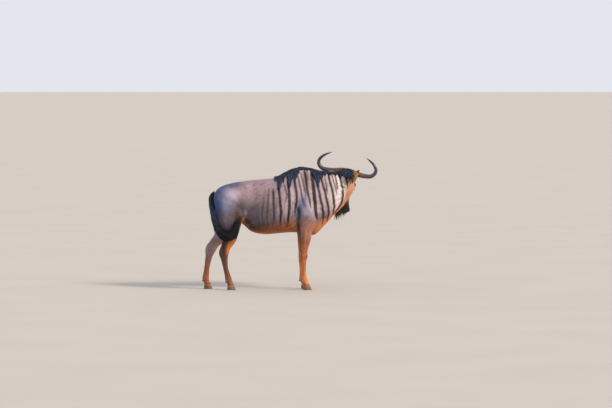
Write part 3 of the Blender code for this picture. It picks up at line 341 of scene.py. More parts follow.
def smoothed(mesh, points, rounds, share):
    """Points after some rounds of smoothing that keeps the volume, each by its own share."""
    ends = np.empty(len(mesh.edges) * 2, np.int32)
    mesh.edges.foreach_get("vertices", ends)
    a, b = ends.reshape(-1, 2).T
    heads, tails = np.concatenate([a, b]), np.concatenate([b, a])
    total = len(points)
    count = np.maximum(np.bincount(heads, minlength=total), 1)

    def average(values):
        sums = [np.bincount(heads, weights=values[tails, k], minlength=total) for k in range(3)]
        return np.stack(sums, axis=1) / count[:, None]

    share = np.asarray(share, float).reshape(-1, 1)
    for _ in range(rounds):
        once = points + 0.6 * (average(points) - points)
        twice = once + 0.6 * (average(once) - once)
        points = points + share * (2 * once - twice - points)
    return points


def remeshed(name, parts, voxel):
    obj = mesh_of(name, *joined(parts))
    step = obj.modifiers.new("remesh", "REMESH")
    step.mode = "VOXEL"
    step.voxel_size = voxel
    return settle(obj)


print("mesh helpers are ready")

# %% Lofts of trunk, legs and head
def trunk_frames(count):
    """Belly point, height, sideways, upward and forward directions along the trunk."""
    rows = through(TRUNK, count)
    turn = np.radians(rows[:, 6])
    back = np.stack([rows[:, 0], rows[:, 7], rows[:, 1]], axis=1)
    belly = np.stack([rows[:, 2], rows[:, 7], rows[:, 3]], axis=1)
    out = np.stack([-np.sin(turn), np.cos(turn), 0 * turn], axis=1)
    up = unit(back - belly)
    return rows, belly, np.linalg.norm(back - belly, axis=1), out, up, np.cross(out, up)


def trunk_loft():
    rows, belly, height, out, up, _ = trunk_frames(130)
    rings = []
    for i, row in enumerate(rows):
        half_width, widest = row[4:6]
        centre = belly[i] + up[i] * height[i] * widest
        reach = (half_width, height[i] * (1 - widest), height[i] * widest)
        rings.append(oval(centre, out[i], up[i], *reach, 72, 2.15))
    return loft(rings)


def leg_loft(stations, side, shift):
    rows = through(stations, 110)
    centres = np.stack([rows[:, 0] + shift, side * rows[:, 1], rows[:, 2]], axis=1)
    along = np.gradient(centres, axis=0)
    along[:, 1] = 0
    along = unit(along)
    fore = np.stack([-along[:, 2], 0 * along[:, 0], along[:, 0]], axis=1)
    fore *= np.sign(fore[:, :1])
    out = np.array((0.0, side, 0.0))
    rings = [oval(centres[i], out, fore[i], row[5], row[3], row[4], 40, 2.1) for i, row in enumerate(rows)]
    return loft(rings)


def skull_swell(a, b, c):
    """How far the face stands out at brow ridge, cheekbone and nostril rim."""
    brow = 0.026 * hill(a - 0.118, 0.030) * hill(c + 0.022, 0.022)
    orbit = 0.013 * hill(a - 0.150, 0.034) * hill(c + 0.050, 0.034)
    cheekbone = 0.008 * hill(a - 0.215, 0.040) * hill(c + 0.070, 0.018)
    rim = 0.007 * hill(a - 0.438, 0.020) * hill(c + 0.036, 0.024)
    return (brow + orbit + cheekbone + rim) * np.minimum(np.abs(b) / 0.03, 1)


def head_loft(stations, count, sides, power, swell):
    rings = []
    for a, top, bottom, half_width, widest in through(stations, count):
        centre = np.array((a, 0.0, bottom + (top - bottom) * widest))
        ring = oval(centre, (0, 1, 0), (0, 0, 1), half_width, top - centre[2], centre[2] - bottom, sides, power)
        if swell:
            ring[:, 1] += np.sign(ring[:, 1]) * skull_swell(*ring.T)
        rings.append(from_head(ring))
    return loft(rings)


head_parts = [head_loft(FACE, 110, 84, 2.35, True), head_loft(JAW, 60, 48, 2.2, False)]
body_parts = [trunk_loft(), *(leg_loft(*leg[1:]) for leg in LEGS)]
skin = remeshed("skin", body_parts + head_parts, 0.0102)
points = read(skin.data)
share = 0.12 + 0.88 * ease(points[:, 2], 0.42, 0.70)
points = smoothed(skin.data, points, 18, share)
poll = ease(to_head(points)[:, 0], 0.13, 0.02) * ease(points[:, 0], 0.45, 0.58)
points = smoothed(skin.data, points, 30, poll)
write(skin.data, points)
print("one skin of", len(skin.data.polygons), "faces")

# %% [markdown]
# ## Where a point of the skin lies
#
# Muscles and stripes follow the body, not the room: the neck bends to the left and one hind leg
# stands further back. So each point is also given the place that it would have on the right side,
# which faces the viewer. Whatever is drawn there once, in x and z, then comes out on both sides.

# %% Reference places
TRUNK_BELLY, TRUNK_HEIGHT, TRUNK_OUT, TRUNK_UP, TRUNK_AHEAD = trunk_frames(241)[1:]


def along_trunk(points):
    """The row of the trunk nearest to each point, and where the point lies in it."""
    middle = TRUNK_BELLY + TRUNK_UP * TRUNK_HEIGHT[:, None] * 0.5
    ahead = np.abs(points @ TRUNK_AHEAD.T - dot(TRUNK_BELLY, TRUNK_AHEAD))
    squares = (points**2).sum(axis=1)[:, None] + (middle**2).sum(axis=1) - 2 * points @ middle.T
    row = np.argmin(ahead + 0.15 * np.sqrt(np.maximum(squares, 0)), axis=1)
    offset = points - TRUNK_BELLY[row]
    aside = dot(offset, TRUNK_OUT[row])
    height = dot(offset, TRUNK_UP[row]) / TRUNK_HEIGHT[row]
    return row, aside, height


def leg_rows():
    """Each leg's line read by height, with its partner on the right side."""
    made = []
    for name, stations, side, shift in LEGS:
        rows = through(stations, 120)[::-1]
        partner = through(FRONT_LEG if "front" in name else HIND_LEG_RIGHT, 120)[::-1]
        made.append((name, rows, partner, side, shift))
    return made


class Places:
    """Reference place, height share, leg share and side of many points."""

    def __init__(self, points):
        self.points = points
        row, aside, self.height = along_trunk(points)
        mirrored = points - 2 * np.maximum(aside, 0)[:, None] * TRUNK_OUT[row]
        self.x, self.z = mirrored[:, 0].copy(), points[:, 2].copy()
        self.side = np.sign(aside)
        self.leg = np.zeros(len(points))
        self.fore = np.zeros(len(points))
        self.outer = np.ones(len(points))
        for name, rows, partner, side, shift in leg_rows():
            z = points[:, 2]
            level = np.interp(z, rows[:, 2], np.arange(len(rows)))
            x_here = np.interp(z, rows[:, 2], rows[:, 0]) + shift
            y_here = np.interp(z, rows[:, 2], rows[:, 1]) * side
            ahead = points[:, 0] - x_here
            reach = np.where(ahead > 0, np.interp(z, rows[:, 2], rows[:, 3]), np.interp(z, rows[:, 2], rows[:, 4]))
            across = (points[:, 1] - y_here) / np.interp(z, rows[:, 2], rows[:, 5])
            far = np.hypot(ahead / reach, across)
            weight = (1 - ease(far, 1.25, 1.9)) * (1 - ease(z, 0.74, 0.98))
            weight[(z < 0.60) & (far < 3.0)] = 1.0
            better = weight > self.leg
            index = np.arange(len(rows))
            x_there = np.interp(level, index, partner[:, 0]) + ahead
            z_there = np.interp(level, index, partner[:, 2])
            self.x[better] = (self.x * (1 - weight) + x_there * weight)[better]
            self.z[better] = (self.z * (1 - weight) + z_there * weight)[better]
            self.leg[better] = weight[better]
            self.fore[better] = 1.0 if "front" in name else 0.0
            self.outer[better] = (across * side)[better]
            self.side[better & (z < 0.70)] = side
        self.head_axes = to_head(points)
        a, b, c = self.head_axes.T
        near = (np.abs(b) < 0.16) & (c > -0.27) & (c < 0.08) & (a > -0.1) & (a < 0.53)
        self.head = ease(a, 0.015, 0.085) * near


places = Places(read(skin.data))
print("on the head:", int((places.head > 0.5).sum()), "points, on the legs:", int((places.leg > 0.5).sum()))

# %% [markdown]
# ## Finer faces where the form is fine
#
# Head and lower legs have small forms. Their faces are cut in four, and those of eyes and muzzle
# once more. The head's new points are laid on a close copy of the head, lofted just for this.

# %% Finer head and lower legs
head_model = remeshed("head_model", head_parts, 0.0042)
write(head_model.data, smoothed(head_model.data, read(head_model.data), 6, np.ones(len(head_model.data.vertices))))


def tree_of(obj):
    points = read(obj.data)
    return BVHTree.FromPolygons(points.tolist(), [tuple(face.vertices) for face in obj.data.polygons])


def cut_finer(obj, chosen):
    """Cuts in four the faces whose points are all chosen."""
    shape = bmesh.new()
    shape.from_mesh(obj.data)
    shape.verts.ensure_lookup_table()
    faces = [face for face in shape.faces if all(chosen[vert.index] for vert in face.verts)]
    edges = list({edge for face in faces for edge in face.edges})
    bmesh.ops.subdivide_edges(shape, edges=edges, cuts=1, use_grid_fill=True)
    shape.to_mesh(obj.data)
    shape.free()
    obj.data.update()


def lay_on_head(obj, tree):
    """Draws the points of the head onto the close copy."""
    points = read(obj.data)
    weight = Places(points).head
    for i in np.nonzero(weight > 0)[0]:
        near = tree.find_nearest(points[i])[0]
        if near is not None:
            points[i] += weight[i] * (np.array(near) - points[i])
    write(obj.data, points)


head_tree = tree_of(head_model)
cut_finer(skin, (places.head > 0.02) | (places.points[:, 2] < 0.47))
points = read(skin.data)
write(skin.data, smoothed(skin.data, points, 3, np.where(points[:, 2] < 0.5, 1.0, 0.0)))
a, b, c = to_head(read(skin.data)).T
around_eye = np.hypot(a - EYE_PLACE[0], c - EYE_PLACE[2]) < 0.050
fine = ((np.abs(b) > 0.05) & around_eye) | ((a > 0.345) & (a < 0.52) & (c > -0.14))
fine &= (np.abs(b) < 0.16) & (c < 0.08) & (c > -0.2) & (a > 0)
cut_finer(skin, fine)
lay_on_head(skin, head_tree)
bpy.data.objects.remove(head_model)
print("the skin now has", sum(len(face.vertices) - 2 for face in skin.data.polygons), "triangles")

# %% [markdown]
# ## Muscles, bones and folds
#
# Under the short coat of a wildebeest the shoulder blade, ribs, hip bone and tendons show. A
# sculptor draws them with strokes. Each stroke here is a line in x and z with a width and a
# height, and it lifts or sinks the skin on the flanks and the outer sides of the limbs.

# %% Strokes on body and limbs
# Each: the line as (x, z) points, its width, and its height, which is negative for a groove.
STROKES = [
    (((0.105, 1.300), (0.145, 1.150), (0.185, 1.020), (0.215, 0.930)), 0.022, 0.0060),
    (((0.020, 1.250), (0.035, 1.100), (0.045, 0.980)), 0.032, -0.0060),
    (((0.045, 0.990), (0.095, 0.900), (0.118, 0.800), (0.112, 0.730)), 0.020, -0.0085),
    (((0.225, 0.990), (0.205, 0.900), (0.170, 0.820)), 0.020, -0.0035),
    (((0.108, 0.712), (0.122, 0.705)), 0.024, 0.0070),
    (((0.290, 0.940), (0.300, 0.900)), 0.036, 0.0080),
    (((0.590, 1.050), (0.500, 0.990), (0.410, 0.915), (0.345, 0.850)), 0.018, -0.0060),
    (((0.270, 1.180), (0.390, 1.140), (0.500, 1.130), (0.600, 1.160)), 0.030, -0.0045),
    (((0.330, 0.800), (0.300, 0.720), (0.260, 0.660)), 0.022, -0.0050),
    (((-0.395, 1.090), (-0.440, 0.960), (-0.495, 0.850), (-0.540, 0.775)), 0.030, -0.0075),
    (((-0.430, 0.770), (-0.500, 0.770), (-0.550, 0.800), (-0.560, 0.850)), 0.020, 0.0085),
    (((-0.505, 1.195), (-0.490, 1.180)), 0.034, 0.0095),
    (((-0.415, 1.150), (-0.425, 1.110)), 0.055, -0.0080),
    (((-0.800, 1.080), (-0.805, 0.950), (-0.790, 0.820), (-0.765, 0.720)), 0.026, -0.0042),
    (((-0.560, 1.090), (-0.600, 0.960), (-0.630, 0.830)), 0.030, -0.0045),
    (((-0.610, 0.760), (-0.600, 0.730)), 0.034, 0.0060),
    (((-0.735, 0.610), (-0.757, 0.540), (-0.775, 0.470)), 0.011, -0.0060),
    (((-0.797, 0.455), (-0.799, 0.440)), 0.018, 0.0050),
    (((-0.735, 0.415), (-0.728, 0.395)), 0.016, 0.0030),
    (((-0.757, 0.345), (-0.741, 0.250), (-0.724, 0.165)), 0.0065, -0.0034),
    (((0.146, 0.330), (0.149, 0.250), (0.152, 0.165)), 0.0065, -0.0034),
    (((0.186, 0.402), (0.184, 0.372)), 0.014, 0.0030),
    (((0.140, 0.392), (0.140, 0.372)), 0.010, 0.0028),
    (((0.205, 0.660), (0.185, 0.560), (0.175, 0.460)), 0.013, -0.0038),
    (((0.135, 0.640), (0.140, 0.560), (0.146, 0.470)), 0.012, -0.0032),
    (((-0.650, 0.640), (-0.690, 0.560), (-0.722, 0.480)), 0.014, -0.0035),
]
for rib in np.arange(-0.345, 0.0, 0.049):
    STROKES.append((((rib + 0.035, 1.10), (rib, 0.98), (rib - 0.010, 0.85), (rib + 0.018, 0.74)), 0.013, 0.0026))


def to_line(x, z, line):
    """Distance to a line of (x, z) points, and the share of its length that is passed there."""
    line = np.array(line, float)
    steps = np.linalg.norm(np.diff(line, axis=0), axis=1)
    passed = np.concatenate([[0], np.cumsum(steps)])
    nearest, share = np.full(len(x), 9.0), np.zeros(len(x))
    for i, step in enumerate(steps):
        way = (line[i + 1] - line[i]) / step
        t = np.clip((x - line[i, 0]) * way[0] + (z - line[i, 1]) * way[1], 0, step)
        away = np.hypot(x - line[i, 0] - way[0] * t, z - line[i, 1] - way[1] * t)
        closer = away < nearest
        nearest[closer] = away[closer]
        share[closer] = ((passed[i] + t) / passed[-1])[closer]
    return nearest, share


def sculpt_body(obj):
    points, normals = read(obj.data), read(obj.data, "normal")
    here = Places(points)
    flank = ease(np.abs(normals[:, 1]), 0.25, 0.70) * (here.side * normals[:, 1] > 0)
    flank = flank * (1 - here.head) * np.where(here.leg > 0.5, ease(here.outer, -0.2, 0.5), 1.0)
    lift = np.zeros(len(points))
    for line, width, height in STROKES:
        away, _ = to_line(here.x, here.z, line)
        lift += height * hill(away, width)
    write(obj.data, points + normals * (lift * flank)[:, None])


sculpt_body(skin)
print(len(STROKES), "strokes on each side")

# %% [markdown]
# ## The face
#
# The head gets the most care: the hollows of the nostrils with their raised rims, the line between
# the lips, the ridge of the cheek, and an opening for each eye. The skin behind an eyeball sinks
# away, and a rolled rim of lid, its own closed ring, is laid over the edge of the opening.

# %% Nostrils, lips and sockets
def to_curve(points, curve):
    """Distance from points to a line in space."""
    nearest = np.full(len(points), 9.0)
    for start, end in zip(curve, curve[1:]):
        start, end = np.array(start, float), np.array(end, float)
        way = end - start
        t = np.clip((points - start) @ way / (way @ way), 0, 1)
        nearest = np.minimum(nearest, np.linalg.norm(points - start - t[:, None] * way, axis=1))
    return nearest


def eye_axes(side):
    """Centre of an eyeball and the directions out of the face, forwards and upwards, in head axes."""
    centre = EYE_PLACE * (1, side, 1)
    look = unit(np.array((0.10, side, 0.12)))
    fore = np.array((1, 0, -0.25))
    fore = unit(fore - look * dot(fore, look))
    rise = np.cross(look, fore)
    return centre, look, fore, rise * np.sign(rise[2])


ALMOND = (0.0222, 0.0122, 0.0102)  # half length, and half height above and below


def lip_line(a):
    return MOUTH_LINE - 0.006 * ease(0.43 - a, 0.0, 0.05)


def sculpt_face(obj):
    points, normals = read(obj.data), read(obj.data, "normal")
    here = Places(points)
    p = here.head_axes
    a, b, c = p.T
    mirrored = np.stack([a, np.abs(b), c], axis=1)
    lift = np.zeros(len(points))
    nostril = to_curve(mirrored, [(0.456, 0.027, -0.026), (0.452, 0.042, -0.030), (0.441, 0.053, -0.040), (0.428, 0.057, -0.048)])
    lift += -0.0165 * hill(nostril, 0.0066) + 0.0042 * hill(nostril - 0.0135, 0.0048)
    on_lips = ease(a, MOUTH_CORNER - 0.006, MOUTH_CORNER + 0.008)
    gap = np.abs(c - lip_line(a))
    lift += on_lips * (-0.0075 * hill(gap, 0.0030) + 0.0022 * hill(gap - 0.009, 0.006))
    lift += 0.0030 * hill(to_curve(mirrored, [(0.170, 0.09, -0.078), (0.235, 0.07, -0.070), (0.300, 0.05, -0.062)]), 0.010)
    lift += -0.0030 * hill(to_curve(mirrored, [(0.190, 0.08, -0.030), (0.270, 0.05, -0.028), (0.370, 0.05, -0.030)]), 0.014)
    lift += -0.0050 * hill(to_curve(mirrored, [(0.150, 0.05, -0.150), (0.230, 0.05, -0.118), (0.330, 0.04, -0.092)]), 0.010)
    lift += -0.0028 * hill(b, 0.006) * ease(a, 0.425, 0.445) * ease(c, -0.082, -0.070)
    centre_of = {}
    for side in (1, -1):
        centre, look, fore, rise = eye_axes(side)
        x, y, depth = (p - centre) @ fore, (p - centre) @ rise, (p - centre) @ look
        lying = (depth > -0.01) & (np.abs(b - centre[1]) < 0.05)
        ring = np.hypot(x, y * 1.25)
        lift += lying * (-0.0032 * hill(ring - 0.034, 0.0040) * ease(y, -0.004, 0.012))
        lift += lying * (-0.0022 * hill(ring - 0.040, 0.0035) * ease(-y, -0.002, 0.012))
        round_eye = np.hypot(x / ALMOND[0], y / np.where(y > 0, ALMOND[1], ALMOND[2]))
        centre_of[side] = (lying & (ring < 0.05), round_eye, np.hypot(x, y), centre, look)
    p_new = to_head(points + normals * (lift * here.head)[:, None])
    for inside, round_eye, far, centre, look in centre_of.values():
        depth = (p_new - centre) @ look
        ball = np.sqrt(np.maximum((EYE_RADIUS + 0.0032) ** 2 - far**2, 0)) - 0.05 * (far > EYE_RADIUS + 0.0032)
        soft = 0.5 * (depth + ball + np.sqrt((depth - ball) ** 2 + 0.0035**2))
        covered = np.where(inside, soft, depth)
        sunk = np.minimum(depth, EYE_RADIUS * 0.50)
        open_eye = np.where(inside, 1 - ease(round_eye, 0.99, 1.16), 0)
        p_new += ((1 - open_eye) * covered + open_eye * sunk - depth)[:, None] * look
    write(obj.data, from_head(p_new))


def lid_ring(side):
    """A rolled rim round the almond opening, lying on the eyeball, with a fold above it."""
    centre, look, fore, rise = eye_axes(side)
    profile = ((-0.0010, -0.0060), (-0.0012, -0.0004), (-0.0006, 0.0011), (0.0006, 0.0019), (0.0020, 0.0019),
               (0.0034, 0.0010), (0.0048, -0.0006), (0.0060, -0.0030), (0.0062, -0.0080), (0.0030, -0.0110))
    steps, rings = 72, []
    for angle in np.linspace(0, 2 * np.pi, steps, endpoint=False):
        upper = math.sin(angle) > 0
        x = ALMOND[0] * math.copysign(abs(math.cos(angle)) ** 0.92, math.cos(angle))
        y = ALMOND[1 if upper else 2] * math.sin(angle)
        corner = 1.0 + 0.15 * abs(math.cos(angle)) ** 6
        outward = unit(fore * math.cos(angle) + rise * math.sin(angle))
        rest = math.sqrt(max(EYE_RADIUS**2 - x * x - y * y, 0))
        edge = centre + fore * x * corner + rise * y + look * rest
        thick = 1.15 if upper else 0.85
        rings.append([edge + outward * out * thick + look * up * thick for out, up in profile])
    rings = np.array(rings)
    rows, sides = rings.shape[:2]
    grid = np.arange(rows * sides).reshape(rows, sides)
    b, d = np.roll(grid, -1, axis=1), np.roll(grid, -1, axis=0)
    c = np.roll(b, -1, axis=0)
    faces = np.vstack([np.stack([grid, b, c], -1).reshape(-1, 3), np.stack([grid, c, d], -1).reshape(-1, 3)])
    if side > 0:
        faces = faces[:, ::-1]
    return from_head(rings.reshape(-1, 3)), faces


sculpt_face(skin)
print("the eyeballs are", round(2000 * EYE_RADIUS), "mm across")

# %% [markdown]
# ## Coat depth and the flow of the hair
#
# The solids' surface is the top of the coat, so the skin sinks by the coat's depth: about 4 mm on
# the body and under 2 mm on the face and feet. Each point also learns which way its hair lies:
# back and down over the body, straight down the legs, and up the face from the nose.

# %% Coat depth and lie
def coat_depth(here):
    legs = here.leg * (1 - ease(here.z, 0.45, 0.75))
    body = 0.0042 * (1 - legs) + 0.0020 * legs
    feet = np.where(here.points[:, 2] < 0.11, 0.0012, body)
    return feet * (1 - here.head) + 0.0014 * here.head


def hair_lie(here, normals):
    """The direction that the hair points in, lying in the skin."""
    row, _, _ = along_trunk(here.points)
    body = -TRUNK_AHEAD[row] * 0.85 + np.array((0, 0, -0.45))
    haunch = ease(-here.x, 0.45, 0.75)[:, None]
    body = body * (1 - haunch) + np.array((-0.45, 0, -0.85)) * haunch
    leg = here.leg[:, None] * (1 - ease(here.z, 0.60, 0.95))[:, None]
    lie = body * (1 - leg) + np.array((-0.12, 0, -1.0)) * leg
    up_face = HEAD_AXES @ np.array((-0.9, 0, -0.35))
    lie = lie * (1 - here.head[:, None]) + up_face * here.head[:, None]
    return unit(lie - normals * dot(lie, normals)[:, None])


def drawn_to_hooves(points):
    """Points with the lowest skin of each leg drawn in, so that it ends inside the hooves."""
    points = points.copy()
    spare = 0.5 * (points[:, 2] - 0.046)
    for _, stations, side, shift in LEGS:
        middle = np.array((stations[-1][1] + shift, side * stations[-1][2]))
        ahead, aside = (points[:, :2] - middle).T
        foot = (points[:, 2] < 0.075) & (np.hypot(ahead, aside) < 0.075)
        points[foot, 0] = middle[0] + np.minimum(ahead, 0.024 + spare)[foot]
        points[foot, 1] = middle[1] + np.clip(aside, -0.034 - spare, 0.034 + spare)[foot]
    return points


points, normals = read(skin.data), read(skin.data, "normal")
places = Places(points)
write(skin.data, drawn_to_hooves(points - normals * coat_depth(places)[:, None]))
print("coat depth up to", round(float(coat_depth(places).max()) * 1000, 1), "mm")

# %% [markdown]
# ## Markings
#
# The stripes are painted as a distance: every point knows how far it is from the edge of the
# nearest stripe, and the material turns that into a crisp dark line, however large the faces are.
# The ground colours are laid in soft areas, one over the other, as a painter would glaze them:
# slate on the rump, mauve on the loins, silver on the neck, tan on belly, chest and legs.
# Light and shade are painted into them as well: a highlight and cool sky reflection on the rump,
# warm sunlight in the tan of chest, belly and cheek, a sunlit rim on the hind legs, and shade
# behind the foreleg, low on the thigh, and on the backs and inner sides of the legs.

# %% Stripes
# Each: the line from mane to belly as (x, z) points, its width and its strength.
STRIPES = (
    (((-0.275, 1.156), (-0.295, 1.064), (-0.302, 0.956), (-0.318, 0.860)), 0.032, 0.34),
    (((-0.237, 1.172), (-0.245, 1.064), (-0.248, 0.956), (-0.252, 0.820)), 0.028, 0.50),
    (((-0.191, 1.160), (-0.183, 1.033), (-0.179, 0.910), (-0.183, 0.770)), 0.027, 0.86),
    (((-0.137, 1.210), (-0.114, 1.095), (-0.106, 1.002), (-0.098, 0.910), (-0.110, 0.745)), 0.031, 0.94),
    (((-0.064, 1.220), (-0.033, 1.110), (-0.044, 1.020)), 0.019, 0.70),
    (((-0.025, 1.260), (-0.006, 1.164), (-0.002, 0.956), (-0.014, 0.856), (-0.025, 0.730)), 0.032, 0.96),
    (((0.052, 1.270), (0.079, 1.125), (0.081, 1.018), (0.063, 0.941), (0.058, 0.850)), 0.028, 0.93),
    (((0.090, 1.330), (0.121, 1.187), (0.137, 1.079), (0.156, 1.018), (0.175, 0.960)), 0.019, 0.72),
    (((0.129, 1.350), (0.152, 1.225), (0.177, 1.133), (0.187, 1.040)), 0.020, 0.78),
    (((0.169, 1.379), (0.187, 1.272), (0.198, 1.187), (0.214, 1.095), (0.243, 0.950)), 0.029, 0.90),
    (((0.252, 1.364), (0.261, 1.264), (0.275, 1.172), (0.283, 1.064), (0.304, 0.879), (0.322, 0.760)), 0.040, 0.98),
    (((0.294, 1.330), (0.314, 1.225), (0.337, 1.125), (0.375, 0.956), (0.391, 0.879), (0.378, 0.765)), 0.029, 0.94),
    (((0.356, 1.310), (0.383, 1.202), (0.406, 1.125), (0.445, 0.956), (0.452, 0.879), (0.428, 0.790)), 0.026, 0.95),
    (((0.402, 1.305), (0.422, 1.202), (0.433, 1.105)), 0.017, 0.78),
    (((0.441, 1.330), (0.475, 1.202), (0.495, 1.125), (0.506, 1.048), (0.514, 0.956), (0.496, 0.870)), 0.027, 0.96),
    (((0.483, 1.325), (0.506, 1.241), (0.529, 1.164), (0.541, 1.100)), 0.018, 0.80),
    (((0.522, 1.320), (0.537, 1.241), (0.552, 1.155)), 0.020, 0.85),
    (((0.566, 1.325), (0.586, 1.241), (0.604, 1.164), (0.612, 1.084), (0.596, 1.002), (0.556, 0.935), (0.505, 0.880)), 0.024, 0.94),
    (((0.626, 1.330), (0.650, 1.264), (0.662, 1.202), (0.664, 1.130)), 0.020, 0.88),
    (((0.320, 0.860), (0.325, 0.740)), 0.020, 0.60),
    (((0.368, 0.860), (0.379, 0.802), (0.366, 0.740)), 0.018, 0.62),
    (((0.030, 1.020), (0.034, 0.900), (0.022, 0.790)), 0.014, 0.45),
    (((-0.146, 1.070), (-0.148, 0.930), (-0.150, 0.810)), 0.014, 0.40),
    (((0.345, 1.100), (0.362, 1.010), (0.352, 0.920)), 0.012, 0.45),
)


def wander(points, scale, seed):
    """Smooth chance values from about -1 to 1 over the body."""
    offset = Vector((seed * 7.3, seed * 3.1, seed * 5.7))
    return np.array([noise.noise(Vector(p) * scale + offset) for p in points])


def cheek_edge(z):
    """How far forward the striped neck reaches at a height, where the tan of cheek and throat begins."""
    return np.interp(z, (0.77, 0.89, 1.00, 1.09, 1.25, 1.30), (0.378, 0.518, 0.606, 0.655, 0.690, 0.696))


def stripes_at(here):
    """Distance outside the nearest stripe's edge, in metres, and that stripe's strength."""
    swing = 0.010 * wander(here.points, 4.0, 1) * ease(here.side, -0.5, 0.5)
    x = here.x + swing + 0.004 * wander(here.points, 9.0, 2)
    edge, strength = np.full(len(x), 0.05), np.zeros(len(x))
    for line, width, dark in STRIPES:
        away, share = to_line(x, here.z, line)
        taper = ease(share, -0.04, 0.10) * (1 - 0.85 * ease(share, 0.72, 1.02))
        outside = away - width / 2 * (0.25 + 0.75 * taper)
        closer = outside < edge
        edge[closer], strength[closer] = outside[closer], dark
    neck = ease(-here.side, -0.5, 0.5) * (1 - ease(here.points[:, 0] - cheek_edge(here.z), -0.012, 0.008))
    off = np.maximum(here.head * (1 - neck), here.leg * (1 - ease(here.z, 0.70, 0.85)))
    return np.clip(edge + 0.06 * off, -0.02, 0.05), strength


print(len(STRIPES), "stripes on each side")

# %% Ground colours
def paint(red, green, blue):
    """A colour as it is seen, 0 to 255, as linear light."""
    seen = np.array((red, green, blue)) / 255
    return np.where(seen <= 0.04045, seen / 12.92, ((seen + 0.055) / 1.055) ** 2.4)


SLATE, STEEL, LILAC = paint(108, 97, 104), paint(78, 116, 166), paint(222, 206, 230)
MAUVE, SILVER, PEARL = paint(172, 148, 156), paint(200, 178, 186), paint(250, 234, 230)
UMBER, TAN, BRIGHT_TAN = paint(104, 72, 54), paint(184, 108, 62), paint(236, 148, 96)
RUST, LEG_TAN, LEG_BROWN = paint(232, 138, 66), paint(180, 108, 68), paint(108, 70, 52)
LEG_PALE, LEG_GREY, CHEEK_TAN = paint(224, 140, 80), paint(186, 158, 156), paint(238, 172, 128)
SOOT, COAL, INK, NAVY = paint(38, 36, 40), paint(18, 20, 28), paint(16, 24, 38), paint(48, 64, 104)


